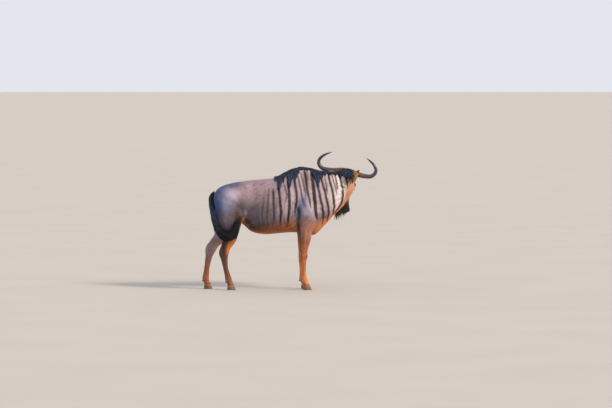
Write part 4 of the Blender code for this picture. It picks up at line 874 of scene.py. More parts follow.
def ground_at(here, normals):
    """The coat's colour without its stripes, with painted light and shade laid in, and how bare and leathery the skin
    is.
    """
    x, z, h = here.x, here.z, here.height
    colour = np.tile(SLATE, (len(x), 1))

    def glaze(over, amount):
        nonlocal colour
        amount = np.clip(amount, 0, 1)[:, None]
        colour = colour * (1 - amount) + over * amount

    def spot(x0, z0, wide, tall):
        return np.exp(-(((x - x0) / wide) ** 2) - ((z - z0) / tall) ** 2)

    # Back and flanks
    glaze(MAUVE, ease(h, 0.40, 0.76) * 0.95)
    glaze(MAUVE, 0.80 * ease(x, -0.30, -0.08) * ease(h, 0.12, 0.42))
    blotch = 0.5 + 0.9 * wander(here.points, 13.0, 4)
    # Blue-grey over the rump's rear: partly the coat's own colour, partly painted cool sky reflection.
    glaze(STEEL, (0.72 + 0.22 * blotch) * ease(-x + 0.035 * blotch, 0.60, 0.84) * ease(z, 0.76, 0.98))
    glaze(NAVY, 0.72 * ease(-x, 0.50, 0.62) * ease(z, 1.130, 1.205))
    # Painted shade: darker blue along the rump's rear edge, which turns away from the light.
    glaze(NAVY, 0.42 * ease(-x + 0.030 * blotch, 0.765, 0.900))
    # Painted highlight: a pale lilac pool of light high on the rump, and a fainter one lower down.
    glaze(LILAC, 0.86 * spot(-0.668, 1.085, 0.074, 0.072))
    glaze(LILAC, 0.20 * spot(-0.735, 0.965, 0.055, 0.080))
    glaze(SLATE, 0.40 * spot(-0.40, 1.07, 0.10, 0.06))
    glaze(SLATE, 0.60 * spot(-0.36, 0.92, 0.09, 0.07))
    glaze(NAVY, 0.28 * spot(-0.39, 0.93, 0.05, 0.04))
    glaze(SILVER, ease(x, -0.20, 0.10) * ease(h, 0.16, 0.40) * 0.90)
    glaze(PEARL, ease(x, 0.40, 0.58) * 0.92)
    glaze(STEEL, 0.72 * spot(0.155, 1.00, 0.060, 0.095))
    # Painted shadow: a dark line behind the foreleg, at the back edge of the upper arm.
    glaze(NAVY, 0.90 * spot(0.105, 0.910, 0.034, 0.060))
    glaze(UMBER, 0.99 * spot(0.190, 1.28, 0.034, 0.10))
    glaze(SOOT, 0.25 * spot(0.190, 1.27, 0.030, 0.09))
    glaze(SLATE, 0.55 * spot(0.185, 0.82, 0.060, 0.065))
    # Belly and chest: their tan is partly the coat's own colour and partly painted warm sunlight from the right
    rear = 1 - ease(x, -0.30, -0.02)
    glaze(UMBER, 0.88 * (1 - ease(h, 0.10, 0.32)) * rear)
    glaze(TAN, 0.85 * (1 - ease(h, 0.06, 0.20)) * ease(x, -0.42, -0.20) * rear)
    glaze(TAN, 0.95 * (1 - ease(h, 0.08, 0.30)) * (1 - rear) * (1 - ease(x, 0.04, 0.16)))
    glaze(BRIGHT_TAN, 0.8 * (1 - ease(h, 0.015, 0.075)) * ease(x, -0.60, -0.40))
    glaze(BRIGHT_TAN, (1 - ease(h, 0.05, 0.26)) * ease(x, 0.06, 0.26) * (1 - ease(x, 0.34, 0.50)))
    soft_edge = 0.032 - 0.016 * ease(z, 1.04, 1.12)
    glaze(BRIGHT_TAN, 0.95 * ease((x - cheek_edge(z)) / soft_edge, -1.0, 0.4) * ease(x, 0.30, 0.42))
    # Legs
    front = here.leg * (1 - ease(z, 0.64, 0.88)) * here.fore
    hind = here.leg * (1 - ease(z, 0.54, 0.70)) * (1 - here.fore)
    leg = np.maximum(front, hind)
    inside = 1 - ease(here.outer, -0.6, 0.1)
    glaze(LEG_TAN, front)
    glaze(LEG_GREY, 0.34 * front * ease(z, 0.52, 0.66))
    glaze(LEG_PALE, front * (1 - ease(z, 0.20, 0.46)) * 0.7)
    glaze(LEG_BROWN, hind)
    glaze(LEG_TAN, hind * (1 - ease(z, 0.06, 0.22)) * 0.6)
    # Painted sunlight: a bright rust rim down the front edge of the hind legs, lit from the right.
    sunlit_edge = np.interp(z, (0.30, 0.46, 0.60), (-0.735, -0.735, -0.690))
    glaze(RUST, 0.75 * hind * ease(x - sunlit_edge, -0.006, 0.018) * ease(z, 0.36, 0.46))
    glaze(COAL, 0.75 * hind * spot(-0.764, 0.48, 0.028, 0.12))
    # Painted shade: darker brown on the backs of the legs, which face away from the light.
    glaze(UMBER, 0.55 * leg * ease(-normals[:, 0], 0.45, 0.90) * ease(z, 0.12, 0.20))
    glaze(UMBER, 0.45 * front * ease(-normals[:, 0], 0.30, 0.80) * ease(z, 0.30, 0.55))
    glaze(LEG_PALE, 0.5 * front * inside)
    # Painted shade with cool sky light: the inner sides of the hind legs greyer, slate in the middle and lilac near the
    # top.
    glaze(LEG_GREY, 0.72 * hind * inside * ease(z, 0.22, 0.45))
    glaze(LILAC, 0.55 * here.leg * (1 - here.fore) * inside * ease(z, 0.52, 0.62) * (1 - ease(z, 0.70, 0.85)))
    glaze(SLATE, 0.30 * hind * inside * ease(z, 0.30, 0.40) * (1 - ease(z, 0.50, 0.58)))
    glaze(LEG_TAN, 0.55 * hind * inside * (1 - ease(z, 0.20, 0.40)))
    glaze(UMBER, 0.60 * front * hill(z - 0.385, 0.032) * ease(normals[:, 0], 0.1, 0.7))
    glaze(LEG_PALE, 0.8 * front * hill(here.points[:, 2] - 0.085, 0.03))
    glaze(UMBER, 0.65 * leg * (1 - ease(here.points[:, 2], 0.052, 0.085)))
    # Painted shadow behind the foreleg, carried down towards the elbow.
    glaze(NAVY, 0.84 * spot(0.104, 0.910, 0.032, 0.065))
    glaze(COAL, 0.45 * spot(0.106, 0.915, 0.022, 0.060))
    glaze(COAL, 0.92 * spot(0.098, 0.830, 0.020, 0.060))
    glaze(COAL, 0.94 * spot(0.101, 0.725, 0.018, 0.080))
    # Haunch: painted shade towards the tail, the knee and the thigh's front, and a bright fold before the thigh
    haunch = ease(-x, 0.50, 0.60) * (1 - 0.9 * inside * here.leg)
    lower = np.interp(x, (-0.84, -0.80, -0.76, -0.665, -0.64, -0.612), (0.790, 0.730, 0.675, 0.675, 0.745, 0.845))
    glaze(SLATE, 0.55 * haunch * spot(-0.70, 0.80, 0.075, 0.07))
    glaze(MAUVE, 0.30 * haunch * spot(-0.745, 0.81, 0.050, 0.09))
    glaze(STEEL, 0.24 * haunch * spot(-0.740, 0.84, 0.070, 0.09))
    # Painted shade: bluish, then black, along the thigh's lower edge, where the tail's tuft sweeps under it.
    glaze(NAVY, 0.42 * haunch * (1 - ease(z - lower, 0.00, 0.17)) * ease(z, 0.56, 0.64))
    glaze(COAL, 0.97 * haunch * (1 - ease(z - lower, -0.025, 0.055)) * ease(z, 0.56, 0.62))
    # Painted shade in the groove between haunch and tail.
    glaze(NAVY, 0.75 * spot(-0.820, 0.90, 0.036, 0.12))
    # Painted shade, black and dark brown, on the thigh's front just behind the bright fold.
    glaze(COAL, 0.97 * spot(-0.588, 0.795, 0.036, 0.105))
    glaze(UMBER, 0.85 * spot(-0.606, 0.885, 0.032, 0.070))
    glaze(SOOT, 0.45 * spot(-0.604, 0.880, 0.028, 0.070))
    glaze(SOOT, 0.55 * spot(-0.475, 0.785, 0.030, 0.028))
    glaze(LILAC, 0.50 * spot(-0.505, 0.885, 0.014, 0.032))
    away, along = to_line(x, z, ((-0.510, 0.850), (-0.536, 0.795), (-0.568, 0.690)))
    glaze(RUST, 0.94 * hill(away, 0.0125) * (0.4 + 0.6 * ease(along, 0.0, 0.2)))
    # Head
    a, b, c = here.head_axes.T
    head = here.head
    black_poll = ease(z - np.interp(x, (0.52, 0.60, 0.66), (1.335, 1.320, 1.265)), -0.01, 0.02) * ease(x, 0.50, 0.56)
    glaze(INK, 0.96 * black_poll * (1 - ease(a, 0.10, 0.16)))
    near_side = here.side < 0
    # Tan cheek: partly the head's own colour, partly painted warm sunlight from the right.
    cheek = head * (1 - ease(a, 0.26, 0.35)) * (1 - ease(c, -0.075, -0.035)) * (1 - ease(z, 1.26, 1.31))
    glaze(CHEEK_TAN, cheek * np.where(near_side, ease(here.points[:, 0] - cheek_edge(z), -0.03, 0.02), 1.0))
    dark = np.maximum(ease(c, -0.070, -0.030), ease(a, 0.25, 0.34))
    glaze(SOOT, head * dark)
    muzzle = head * ease(a, 0.400, 0.430)
    glaze(COAL, muzzle)
    return colour, muzzle


print("the cheek begins at x =", float(cheek_edge(1.1)), "at the height of the jaw")

# %% [markdown]
# ## Finishes
#
# A finish is a small graph of nodes. Writing it as arithmetic keeps it readable, so a class wraps a
# socket, and its operators add the Math nodes. Colours go through Mix nodes, since a Math node
# would turn them grey. What is the same all over a surface is set on the shader itself.

# %% A socket that can be reckoned with
class Wire:
    """A value, colour or vector on its way through a material."""

    def __init__(self, tree, socket=None):
        self.tree, self.socket = tree, socket

    def node(self, kind, settings=(), inputs=(), output=0):
        """Adds any node: its settings first, then the values or links of its sockets."""
        made = self.tree.nodes.new(kind)
        for key, value in dict(settings).items():
            if key == "stops":
                while len(made.color_ramp.elements) < len(value):
                    made.color_ramp.elements.new(0.5)
                for stop, (place, colour) in zip(made.color_ramp.elements, value):
                    stop.position, stop.color = place, (*colour, 1.0)
            else:
                setattr(made, key, value)
        for key, value in dict(inputs).items():
            if isinstance(value, Wire):
                self.tree.links.new(value.socket, made.inputs[key])
            else:
                made.inputs[key].default_value = value
        return Wire(self.tree, made.outputs[output])

    def maths(self, operation, first, second):
        return self.node("ShaderNodeMath", {"operation": operation}, {0: first, 1: second})

    def __add__(self, other):
        return self.maths("ADD", self, other)

    def __sub__(self, other):
        return self.maths("SUBTRACT", self, other)

    def __rsub__(self, other):
        return self.maths("SUBTRACT", other, self)

    def __mul__(self, other):
        return self.maths("MULTIPLY", self, other)

    __radd__, __rmul__ = __add__, __mul__


def attribute(wire, name, output="Fac"):
    return wire.node("ShaderNodeAttribute", {"attribute_name": name}, output=output)


def mixed(wire, amount, first, second, how="MIX"):
    """Two colours, mixed by an amount."""
    colours = [(*c, 1.0) if isinstance(c, (tuple, np.ndarray)) else c for c in (first, second)]
    return wire.node(
        "ShaderNodeMix", {"data_type": "RGBA", "blend_type": how}, {0: amount, 6: colours[0], 7: colours[1]}, output=2
    )


def scaled(wire, place, factors):
    """A place with its three parts multiplied."""
    return wire.node("ShaderNodeVectorMath", {"operation": "MULTIPLY"}, {0: place, 1: factors})


def speckle(wire, place, scale, detail=2.0):
    return wire.node("ShaderNodeTexNoise", {}, {"Vector": place, "Scale": scale, "Detail": detail})


def between(wire, value, low, high, to_low=0.0, to_high=1.0):
    """A value spread from one range to another, with soft ends."""
    return wire.node(
        "ShaderNodeMapRange", {"interpolation_type": "SMOOTHSTEP"}, {0: value, 1: low, 2: high, 3: to_low, 4: to_high}
    )


def finish(name, **constants):
    """A new material, its start of wiring and its shader, with the constants set on the shader."""
    material = bpy.data.materials.new(name)
    material.use_nodes = True
    shader = material.node_tree.nodes["Principled BSDF"]
    for key, value in constants.items():
        shader.inputs[key.replace("_", " ")].default_value = value
    return material, Wire(material.node_tree), shader


def feed(wire, shader, socket, value):
    wire.tree.links.new(value.socket, shader.inputs[socket])


def bump(wire, height, strength, distance):
    return wire.node("ShaderNodeBump", {}, {"Height": height, "Strength": strength, "Distance": distance})


print("finishes can be written")

# %% [markdown]
# ### The coat
#
# Short hair is too fine to model one by one, so most of it is a bump of streaks drawn out along its
# lie, and the tufts that break the outline wear the same finish. The streaks also lighten and
# darken the colour, as hair tips catch light. Stripe edges are ragged by a little noise.

# %% Coat finish
def coat_finish():
    material, wire, shader = finish("coat", Sheen_Weight=0.08, Sheen_Roughness=0.4, Specular_IOR_Level=0.30)
    ground = attribute(wire, "ground", "Color")
    strands = attribute(wire, "strands", "Vector")
    edge, strength, bare = (attribute(wire, key) for key in ("edge", "strength", "bare"))
    fine = speckle(wire, strands, 620.0)
    broad = speckle(wire, strands, 150.0, 3.0)
    patches = speckle(wire, strands, 24.0, 3.0)
    streaks = speckle(wire, strands, 52.0, 3.0)
    clouds = speckle(wire, strands, 9.0, 2.0)
    ragged = edge + (broad - 0.5) * 0.006 + (fine - 0.5) * 0.004
    stripe = (1 - between(wire, ragged, -0.0045, 0.0055)) * strength
    striped = mixed(wire, stripe, ground, tuple(paint(30, 25, 30)))
    # Painted highlight: hair tips and light streaks lighten the colour as lit hair would; patches and dark streaks
    # darken it.
    tips = between(wire, fine * 0.55 + broad * 0.45, 0.32, 0.70)
    lit_tips = mixed(wire, tips * 0.30, striped, tuple(paint(236, 222, 212)), "SOFT_LIGHT")
    shade = mixed(wire, (1 - tips) * 0.22 + (1 - patches) * 0.16, lit_tips, tuple(paint(70, 54, 52)), "MULTIPLY")
    shade = mixed(wire, between(wire, streaks, 0.52, 0.72) * 0.34, shade, tuple(paint(84, 70, 78)), "MULTIPLY")
    shade = mixed(wire, between(wire, streaks, 0.46, 0.30) * 0.40, shade, tuple(paint(255, 246, 240)), "SOFT_LIGHT")
    cool = between(wire, clouds, 0.50, 0.66) * 0.22
    shade = mixed(wire, cool * (1 - bare), shade, tuple(paint(128, 160, 226)), "MULTIPLY")
    feed(wire, shader, "Base Color", shade)
    feed(wire, shader, "Roughness", between(wire, fine, 0.2, 0.8, 0.48, 0.68) - bare * 0.24)
    pebbles = wire.node("ShaderNodeTexVoronoi", {"feature": "SMOOTH_F1"}, {"Scale": 260.0}, output="Distance")
    height = (fine * 0.5 + broad * 0.8) * (1 - bare) + pebbles * bare * 0.8
    feed(wire, shader, "Normal", bump(wire, height, 0.38, 0.0016))
    return material


COAT = coat_finish()
print("coat finish has", len(COAT.node_tree.nodes), "nodes")

# %% Long hair, horn, hoof, ear and eye finishes
def hair_finish(name, root, tip, shine):
    """Coarse black hair: darker at the root and tinted towards the tip, browner and drier on the beard, bluish on the
    black hair and tail, where the tint is a painted highlight.
    """
    material, wire, shader = finish(name, Sheen_Weight=0.03, Sheen_Roughness=0.3, Specular_IOR_Level=0.32)
    along, chance = attribute(wire, "along"), attribute(wire, "chance")
    colour = mixed(wire, between(wire, along, 0.35, 1.0) * 0.22, root, tip)
    colour = mixed(wire, between(wire, chance, 0.50, 1.0) * 0.60, colour, tip)
    feed(wire, shader, "Base Color", colour)
    feed(wire, shader, "Roughness", between(wire, chance, 0.0, 1.0, shine, shine + 0.2))
    grain = speckle(wire, scaled(wire, attribute(wire, "strands", "Vector"), (1, 1, 1)), 500.0)
    feed(wire, shader, "Normal", bump(wire, grain, 0.25, 0.001))
    return material


def horn_finish():
    """Grey keratin: rough and flaking over the boss, dark and polished towards the tips."""
    material, wire, shader = finish("horn", Specular_IOR_Level=0.5, Coat_Roughness=0.25)
    along = attribute(wire, "along")
    place = attribute(wire, "strands", "Vector")
    grain = speckle(wire, scaled(wire, place, (1.0, 1.0, 0.18)), 260.0, 4.0)
    stain = speckle(wire, place, 26.0, 4.0)
    steps = wire.node(
        "ShaderNodeValToRGB",
        {"stops": [(0.0, paint(76, 54, 42)), (0.25, paint(96, 64, 46)), (0.50, paint(62, 58, 68)), (0.80, paint(38, 42, 58)), (1.0, paint(20, 20, 26))]},
        {0: along},
    )
    colour = mixed(wire, between(wire, stain, 0.45, 0.75) * (1 - along) * 0.5, steps, tuple(paint(138, 98, 72)))
    colour = mixed(wire, between(wire, grain, 0.55, 0.75) * 0.5, colour, tuple(paint(30, 27, 28)))
    feed(wire, shader, "Base Color", colour)
    feed(wire, shader, "Roughness", between(wire, along, 0.1, 0.9, 0.58, 0.30) + (grain - 0.5) * 0.15)
    feed(wire, shader, "Coat Weight", between(wire, along, 0.3, 0.9, 0.0, 0.35))
    feed(wire, shader, "Normal", bump(wire, grain * 0.7 + stain * 0.6, 0.5, 0.0015))
    return material


def hoof_finish():
    """Dark horn with fine upright lines, paler at the rim."""
    material, wire, shader = finish("hoof", Specular_IOR_Level=0.45)
    place = attribute(wire, "strands", "Vector")
    along = attribute(wire, "along")
    lines = speckle(wire, scaled(wire, place, (1.0, 1.0, 0.10)), 620.0, 2.0)
    rings = speckle(wire, scaled(wire, place, (0.15, 0.15, 1.0)), 240.0, 2.0)
    colour = mixed(wire, lines, tuple(paint(62, 46, 38)), tuple(paint(122, 90, 68)))
    colour = mixed(wire, between(wire, along, 0.45, 1.0) * 0.7, colour, tuple(paint(168, 112, 74)))
    feed(wire, shader, "Base Color", colour)
    feed(wire, shader, "Roughness", between(wire, rings, 0.3, 0.7, 0.38, 0.62))
    feed(wire, shader, "Normal", bump(wire, lines * 0.5 + rings, 0.4, 0.001))
    return material


def eye_finish():
    """A dark brown iris round a wide pupil, under a wet clear coat."""
    material, wire, shader = finish("eye", Coat_Roughness=0.02, Roughness=0.12)
    shader.inputs["Coat Weight"].default_value = 1.0
    feed(wire, shader, "Base Color", attribute(wire, "ground", "Color"))
    return material


# The bluish tips of the black hair and the tail hair are a painted blue highlight; the beard's brown tips are dry hair.
HAIR = hair_finish("black_hair", tuple(paint(8, 14, 26)), tuple(paint(80, 96, 138)), 0.44)
BEARD_HAIR = hair_finish("beard_hair", tuple(paint(16, 15, 16)), tuple(paint(92, 76, 66)), 0.52)
TAIL_HAIR = hair_finish("tail_hair", tuple(paint(2, 5, 9)), tuple(paint(24, 34, 52)), 0.60)
HORN_FINISH, HOOF_FINISH, EYE_FINISH = horn_finish(), hoof_finish(), eye_finish()
print("finishes:", [material.name for material in (COAT, HAIR, BEARD_HAIR, TAIL_HAIR, HORN_FINISH, HOOF_FINISH, EYE_FINISH)])

# %% [markdown]
# ## Painting and placing a piece
#
# Each piece is made in the stations' frame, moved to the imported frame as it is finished, given its
# finish and its values for the finish to read, and tied to the body. The strands value is a place
# drawn out along the hair, so that noise read there turns into streaks.

# %% Finishing a piece
def set_values(mesh, name, values):
    """Stores one number, vector or colour for each point."""
    values = np.asarray(values, np.float32)
    if values.ndim == 1:
        mesh.attributes.new(name, "FLOAT", "POINT").data.foreach_set("value", values)
    elif name == "ground":
        full = np.concatenate([values, np.ones((len(values), 1), np.float32)], axis=1)
        mesh.attributes.new(name, "FLOAT_COLOR", "POINT").data.foreach_set("color", full.ravel())
    else:
        mesh.attributes.new(name, "FLOAT_VECTOR", "POINT").data.foreach_set("vector", values.ravel())


def drawn_out(points, lie, keep=0.16):
    """Places squeezed along the hair's lie, in metres."""
    return points - lie * dot(points - np.array((0.0, 0.0, 0.8)), lie)[:, None] * (1 - keep)


def dress(obj, material, nodes, values=()):
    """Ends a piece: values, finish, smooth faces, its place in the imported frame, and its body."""
    for name, numbers in dict(values).items():
        set_values(obj.data, name, numbers)
    obj.data.materials.clear()
    obj.data.materials.append(material)
    obj.data.shade_smooth()
    obj.data.transform(Matrix.Translation(Vector(SHIFT)))
    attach(obj, "root")
    if nodes:
        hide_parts(*nodes)
    print(obj.name, "has", sum(len(face.vertices) - 2 for face in obj.data.polygons), "triangles")
    return obj


def coat_values(points, normals):
    """What the coat finish reads, for points on or near the skin."""
    here = Places(points)
    ground, bare = ground_at(here, normals)
    edge, strength = stripes_at(here)
    lie = hair_lie(here, normals)
    return {"ground": ground, "bare": bare, "edge": edge, "strength": strength, "strands": drawn_out(points, lie)}


print("pieces can be dressed")

# %% [markdown]
# ## Laying out the skin flat
#
# Each of the coat's tufts gets a small patch in an unwrap, and each patch has to lie where its root
# lies on the skin. So the skin is unwrapped once, and every root reads its place from there.

# %% Skin with lids, unwrapped
lids = joined([lid_ring(1), lid_ring(-1)])
lid_object = mesh_of("lids", *lids)
lid_count = len(lids[0])
bpy.ops.object.select_all(action="DESELECT")
for obj in (lid_object, skin):
    obj.select_set(True)
bpy.context.view_layer.objects.active = skin
bpy.ops.object.join()
step = skin.modifiers.new("triangles", "TRIANGULATE")
settle(skin)
bpy.context.view_layer.objects.active = skin
skin.select_set(True)
bpy.ops.object.mode_set(mode="EDIT")
bpy.ops.mesh.select_all(action="SELECT")
bpy.ops.uv.smart_project(angle_limit=math.radians(66), island_margin=0.0)
bpy.ops.object.mode_set(mode="OBJECT")
skin_points = read(skin.data)
skin_normals = read(skin.data, "normal")
skin_faces = np.empty(len(skin.data.polygons) * 3, np.int32)
skin.data.loops.foreach_get("vertex_index", skin_faces)
skin_faces = skin_faces.reshape(-1, 3)
flat_places = np.empty(len(skin.data.loops) * 2, np.float32)
skin.data.uv_layers.active.uv.foreach_get("vector", flat_places)
flat_places = flat_places.reshape(-1, 3, 2).mean(axis=1)
skin.data.uv_layers.active.name = "OFBake"
skin_tree = BVHTree.FromPolygons(skin_points.tolist(), skin_faces.tolist())
skin_values = coat_values(skin_points, skin_normals)
print("unwrapped", len(skin_faces), "faces of skin")

# %% Dressing the skin
lid_points = np.arange(len(skin_points)) >= len(skin_points) - lid_count
skin_values["ground"][lid_points] = paint(30, 24, 24)
skin_values["bare"][lid_points] = 0.8
flesh = ["torso", "neck", "head"] + [f"leg_{leg[0]}_{part}" for leg in LEGS for part in ("upper", "lower")]
dress(skin, COAT, flesh, skin_values)

# %% [markdown]
# ## Tufts of the short coat
#
# A tuft is a thin blade of hair that rises a few millimetres and lies down again. Scattered with a
# fixed seed over the whole skin, more closely where hair is short, they give the outline and the
# edges of the stripes the softness that bump alone can't give.

# %% Tufts
def scatter(count, draw, density):
    """Faces of the skin picked by area and density, with a chance place in each."""
    corners = skin_points[skin_faces]
    area = np.linalg.norm(np.cross(corners[:, 1] - corners[:, 0], corners[:, 2] - corners[:, 0]), axis=1)
    weight = area * density
    faces = draw.choice(len(skin_faces), count, p=weight / weight.sum())
    u, v = draw.random(count), draw.random(count)
    flip = u + v > 1
    u, v = np.where(flip, 1 - u, u), np.where(flip, 1 - v, v)
    shares = np.stack([1 - u - v, u, v], axis=1)
    return faces, shares


def spread(values, faces, shares):
    """Values of the skin's points, read at places inside its faces."""
    picked = values[skin_faces[faces]]
    if picked.ndim == 2:
        return (picked * shares).sum(axis=1)
    return (picked * shares[:, :, None]).sum(axis=1)


def flat_patch(flat, corners, height):
    """A patch 3 mm-like wide in the unwrap for each tuft, its corners across and its height along."""
    size = 0.003
    return flat[:, None, :] + size * np.stack([corners, height], axis=-1)[None, :, :]


def add_flat_places(obj, places):
    """Writes the unwrap's places of the points to the piece's OFBake map."""
    mesh = obj.data
    layer = mesh.uv_layers.new(name="OFBake")
    index = np.empty(len(mesh.loops), np.int32)
    mesh.loops.foreach_get("vertex_index", index)
    layer.uv.foreach_set("vector", np.clip(places[index], 0, 1).astype(np.float32).ravel())


TUFT_FACES = np.array([(0, 3, 2), (2, 3, 1), (0, 2, 1), (0, 1, 3)])


def tufts(name, faces, shares, lengths, widths, depths, draw):
    """One piece of coat: a slim closed leaf of hair on each picked place."""
    root = spread(skin_points, faces, shares)
    normal = unit(spread(skin_normals, faces, shares))
    here = Places(root)
    lie = hair_lie(here, normal)
    turn = draw.normal(0, 0.13, len(root))[:, None]
    lie = unit(lie + np.cross(normal, lie) * turn)
    aside = np.cross(normal, lie)
    half, length, depth = (widths / 2)[:, None], lengths[:, None], depths[:, None]
    left = root - aside * half - normal * 0.0007
    right = root + aside * half - normal * 0.0007
    ridge = root + lie * length * 0.34 + normal * depth
    tip = root + lie * length + normal * depth * 0.45
    count = len(root)
    points = np.stack([left, right, ridge, tip], axis=1)
    all_faces = (TUFT_FACES[None] + 4 * np.arange(count)[:, None, None]).reshape(-1, 3)
    obj = mesh_of(name, points.reshape(-1, 3), all_faces)
    patch = flat_patch(flat_places[faces], np.array((0, 1, 0.5, 0.5)), np.array((0, 0, 0.4, 1)))
    add_flat_places(obj, patch.reshape(-1, 2))
    values = {}
    for key in ("ground", "bare", "edge", "strength"):
        values[key] = np.repeat(spread(skin_values[key], faces, shares), 4, axis=0)
    streak = np.repeat(spread(skin_values["strands"], faces, shares), 4, axis=0)
    offset = np.tile(np.array([-0.001, 0.001, 0, 0]), count)[:, None]
    values["strands"] = streak + np.repeat(aside, 4, axis=0) * offset
    piece = dress(obj, COAT, [], values)
    shading = np.stack([normal - aside * 0.45, normal + aside * 0.45, normal - lie * 0.15, normal + lie * 0.35], axis=1)
    piece.data.normals_split_custom_set_from_vertices(unit(shading.reshape(-1, 3)).tolist())
    return piece


corner_middles = skin_points[skin_faces].mean(axis=1)
middle_places = Places(corner_middles)
is_lid = skin_faces.min(axis=1) >= len(skin_points) - lid_count
low_leg = middle_places.leg * (1 - ease(middle_places.z, 0.45, 0.62))
eye_gap = np.min([np.linalg.norm(corner_middles - from_head(EYE_PLACE * (1, s, 1)), axis=1) for s in (1, -1)], axis=0)
bald = is_lid | (eye_gap < 0.034) | (middle_places.head * ease(middle_places.head_axes[:, 0], 0.40, 0.42) > 0.5)
bald |= corner_middles[:, 2] < 0.052
zones = {
    "coat_rump": (middle_places.x < -0.46) & (low_leg < 0.5) & (middle_places.head < 0.5),
    "coat_barrel": (middle_places.x >= -0.46) & (middle_places.x < -0.02) & (low_leg < 0.5),
    "coat_shoulder": (middle_places.x >= -0.02) & (middle_places.x < 0.34) & (low_leg < 0.5) & (middle_places.head < 0.5),
    "coat_neck": (middle_places.x >= 0.34) & (low_leg < 0.5) & (middle_places.head < 0.5),
    "coat_legs": (low_leg >= 0.5) & (middle_places.head < 0.5),
    "coat_head": middle_places.head >= 0.5,
}
# Count, length, width and depth of the tufts of each zone, and its finish slot.
TUFT_SIZES = {
    "coat_rump": (39500, 0.0155, 0.0033, 0.0030, "coat_grey"),
    "coat_barrel": (39500, 0.0155, 0.0033, 0.0030, "coat_grey"),
    "coat_shoulder": (35000, 0.0155, 0.0032, 0.0030, "coat_grey"),
    "coat_neck": (33000, 0.0160, 0.0031, 0.0034, "coat_grey"),
    "coat_legs": (22000, 0.0090, 0.0024, 0.0014, "coat_tan"),
    "coat_head": (17000, 0.0075, 0.0019, 0.0011, "face_dark"),
}
for number, (zone, (count, length, width, depth, slot)) in enumerate(TUFT_SIZES.items()):
    draw = np.random.default_rng(100 + number)
    inside = zones[zone] & ~bald
    if zone == "coat_barrel":
        inside &= middle_places.head < 0.5
    faces, shares = scatter(count, draw, inside.astype(float))
    vary = draw.uniform(0.75, 1.25, count)
    tufts(zone, faces, shares, length * vary, width * draw.uniform(0.8, 1.2, count), depth * draw.uniform(0.7, 1.1, count), draw)

# %% [markdown]
# ## Long hair
#
# Mane, beard, forelock and tail are coarse hair that gathers in pointed locks. Each lock first gets
# a path: it leaves its root along an aim, sinks and comes to lie over the body. Then many fine
# strands follow that path, wide apart at the root and drawn together at the tip.

# %% Paths of locks
def nearest_on_skin(points):
    places, outs, faces = np.empty_like(points), np.empty_like(points), np.empty(len(points), int)
    for i, point in enumerate(points):
        place, normal, face, _ = skin_tree.find_nearest(point)
        places[i], outs[i], faces[i] = place, normal, face
    return places, outs, faces


def fallen(roots, aims, lengths, gaps, pull, steps=8, down=(0, 0, -1)):
    """Paths of many locks, with the skin's outward direction along them."""
    point, heading = roots.copy(), unit(aims)
    down = np.asarray(down, float)
    paths, outs = [point.copy()], [nearest_on_skin(point)[1]]
    for _ in range(steps):
        point = point + heading * (lengths / steps)[:, None]
        near, normal, _ = nearest_on_skin(point)
        low = dot(point - near, normal) < gaps
        point[low] = (near + normal * gaps[:, None])[low]
        paths.append(point.copy())
        outs.append(normal)
        heading = unit(heading * (1 - pull) + down * pull)
        inward = np.minimum(dot(heading, normal), 0)
        heading = unit(heading - normal * inward[:, None] * 0.9)
    return np.stack(paths, axis=1), np.stack(outs, axis=1)


def read_path(path, share):
    """Points along many paths at their own shares of the length."""
    place = share * (path.shape[1] - 1)
    i = np.minimum(place.astype(int), path.shape[1] - 2)
    t = (place - i)[..., None]
    row = np.arange(len(path))[:, None]
    return path[row, i] * (1 - t) + path[row, i + 1] * t


def smooth_paths(path):
    """Takes the corners out of paths, leaving their roots and tips."""
    path = path.copy()
    for _ in range(2):
        path[:, 1:-1] = 0.5 * path[:, 1:-1] + 0.25 * (path[:, :-2] + path[:, 2:])
    return path


print("locks can be laid")

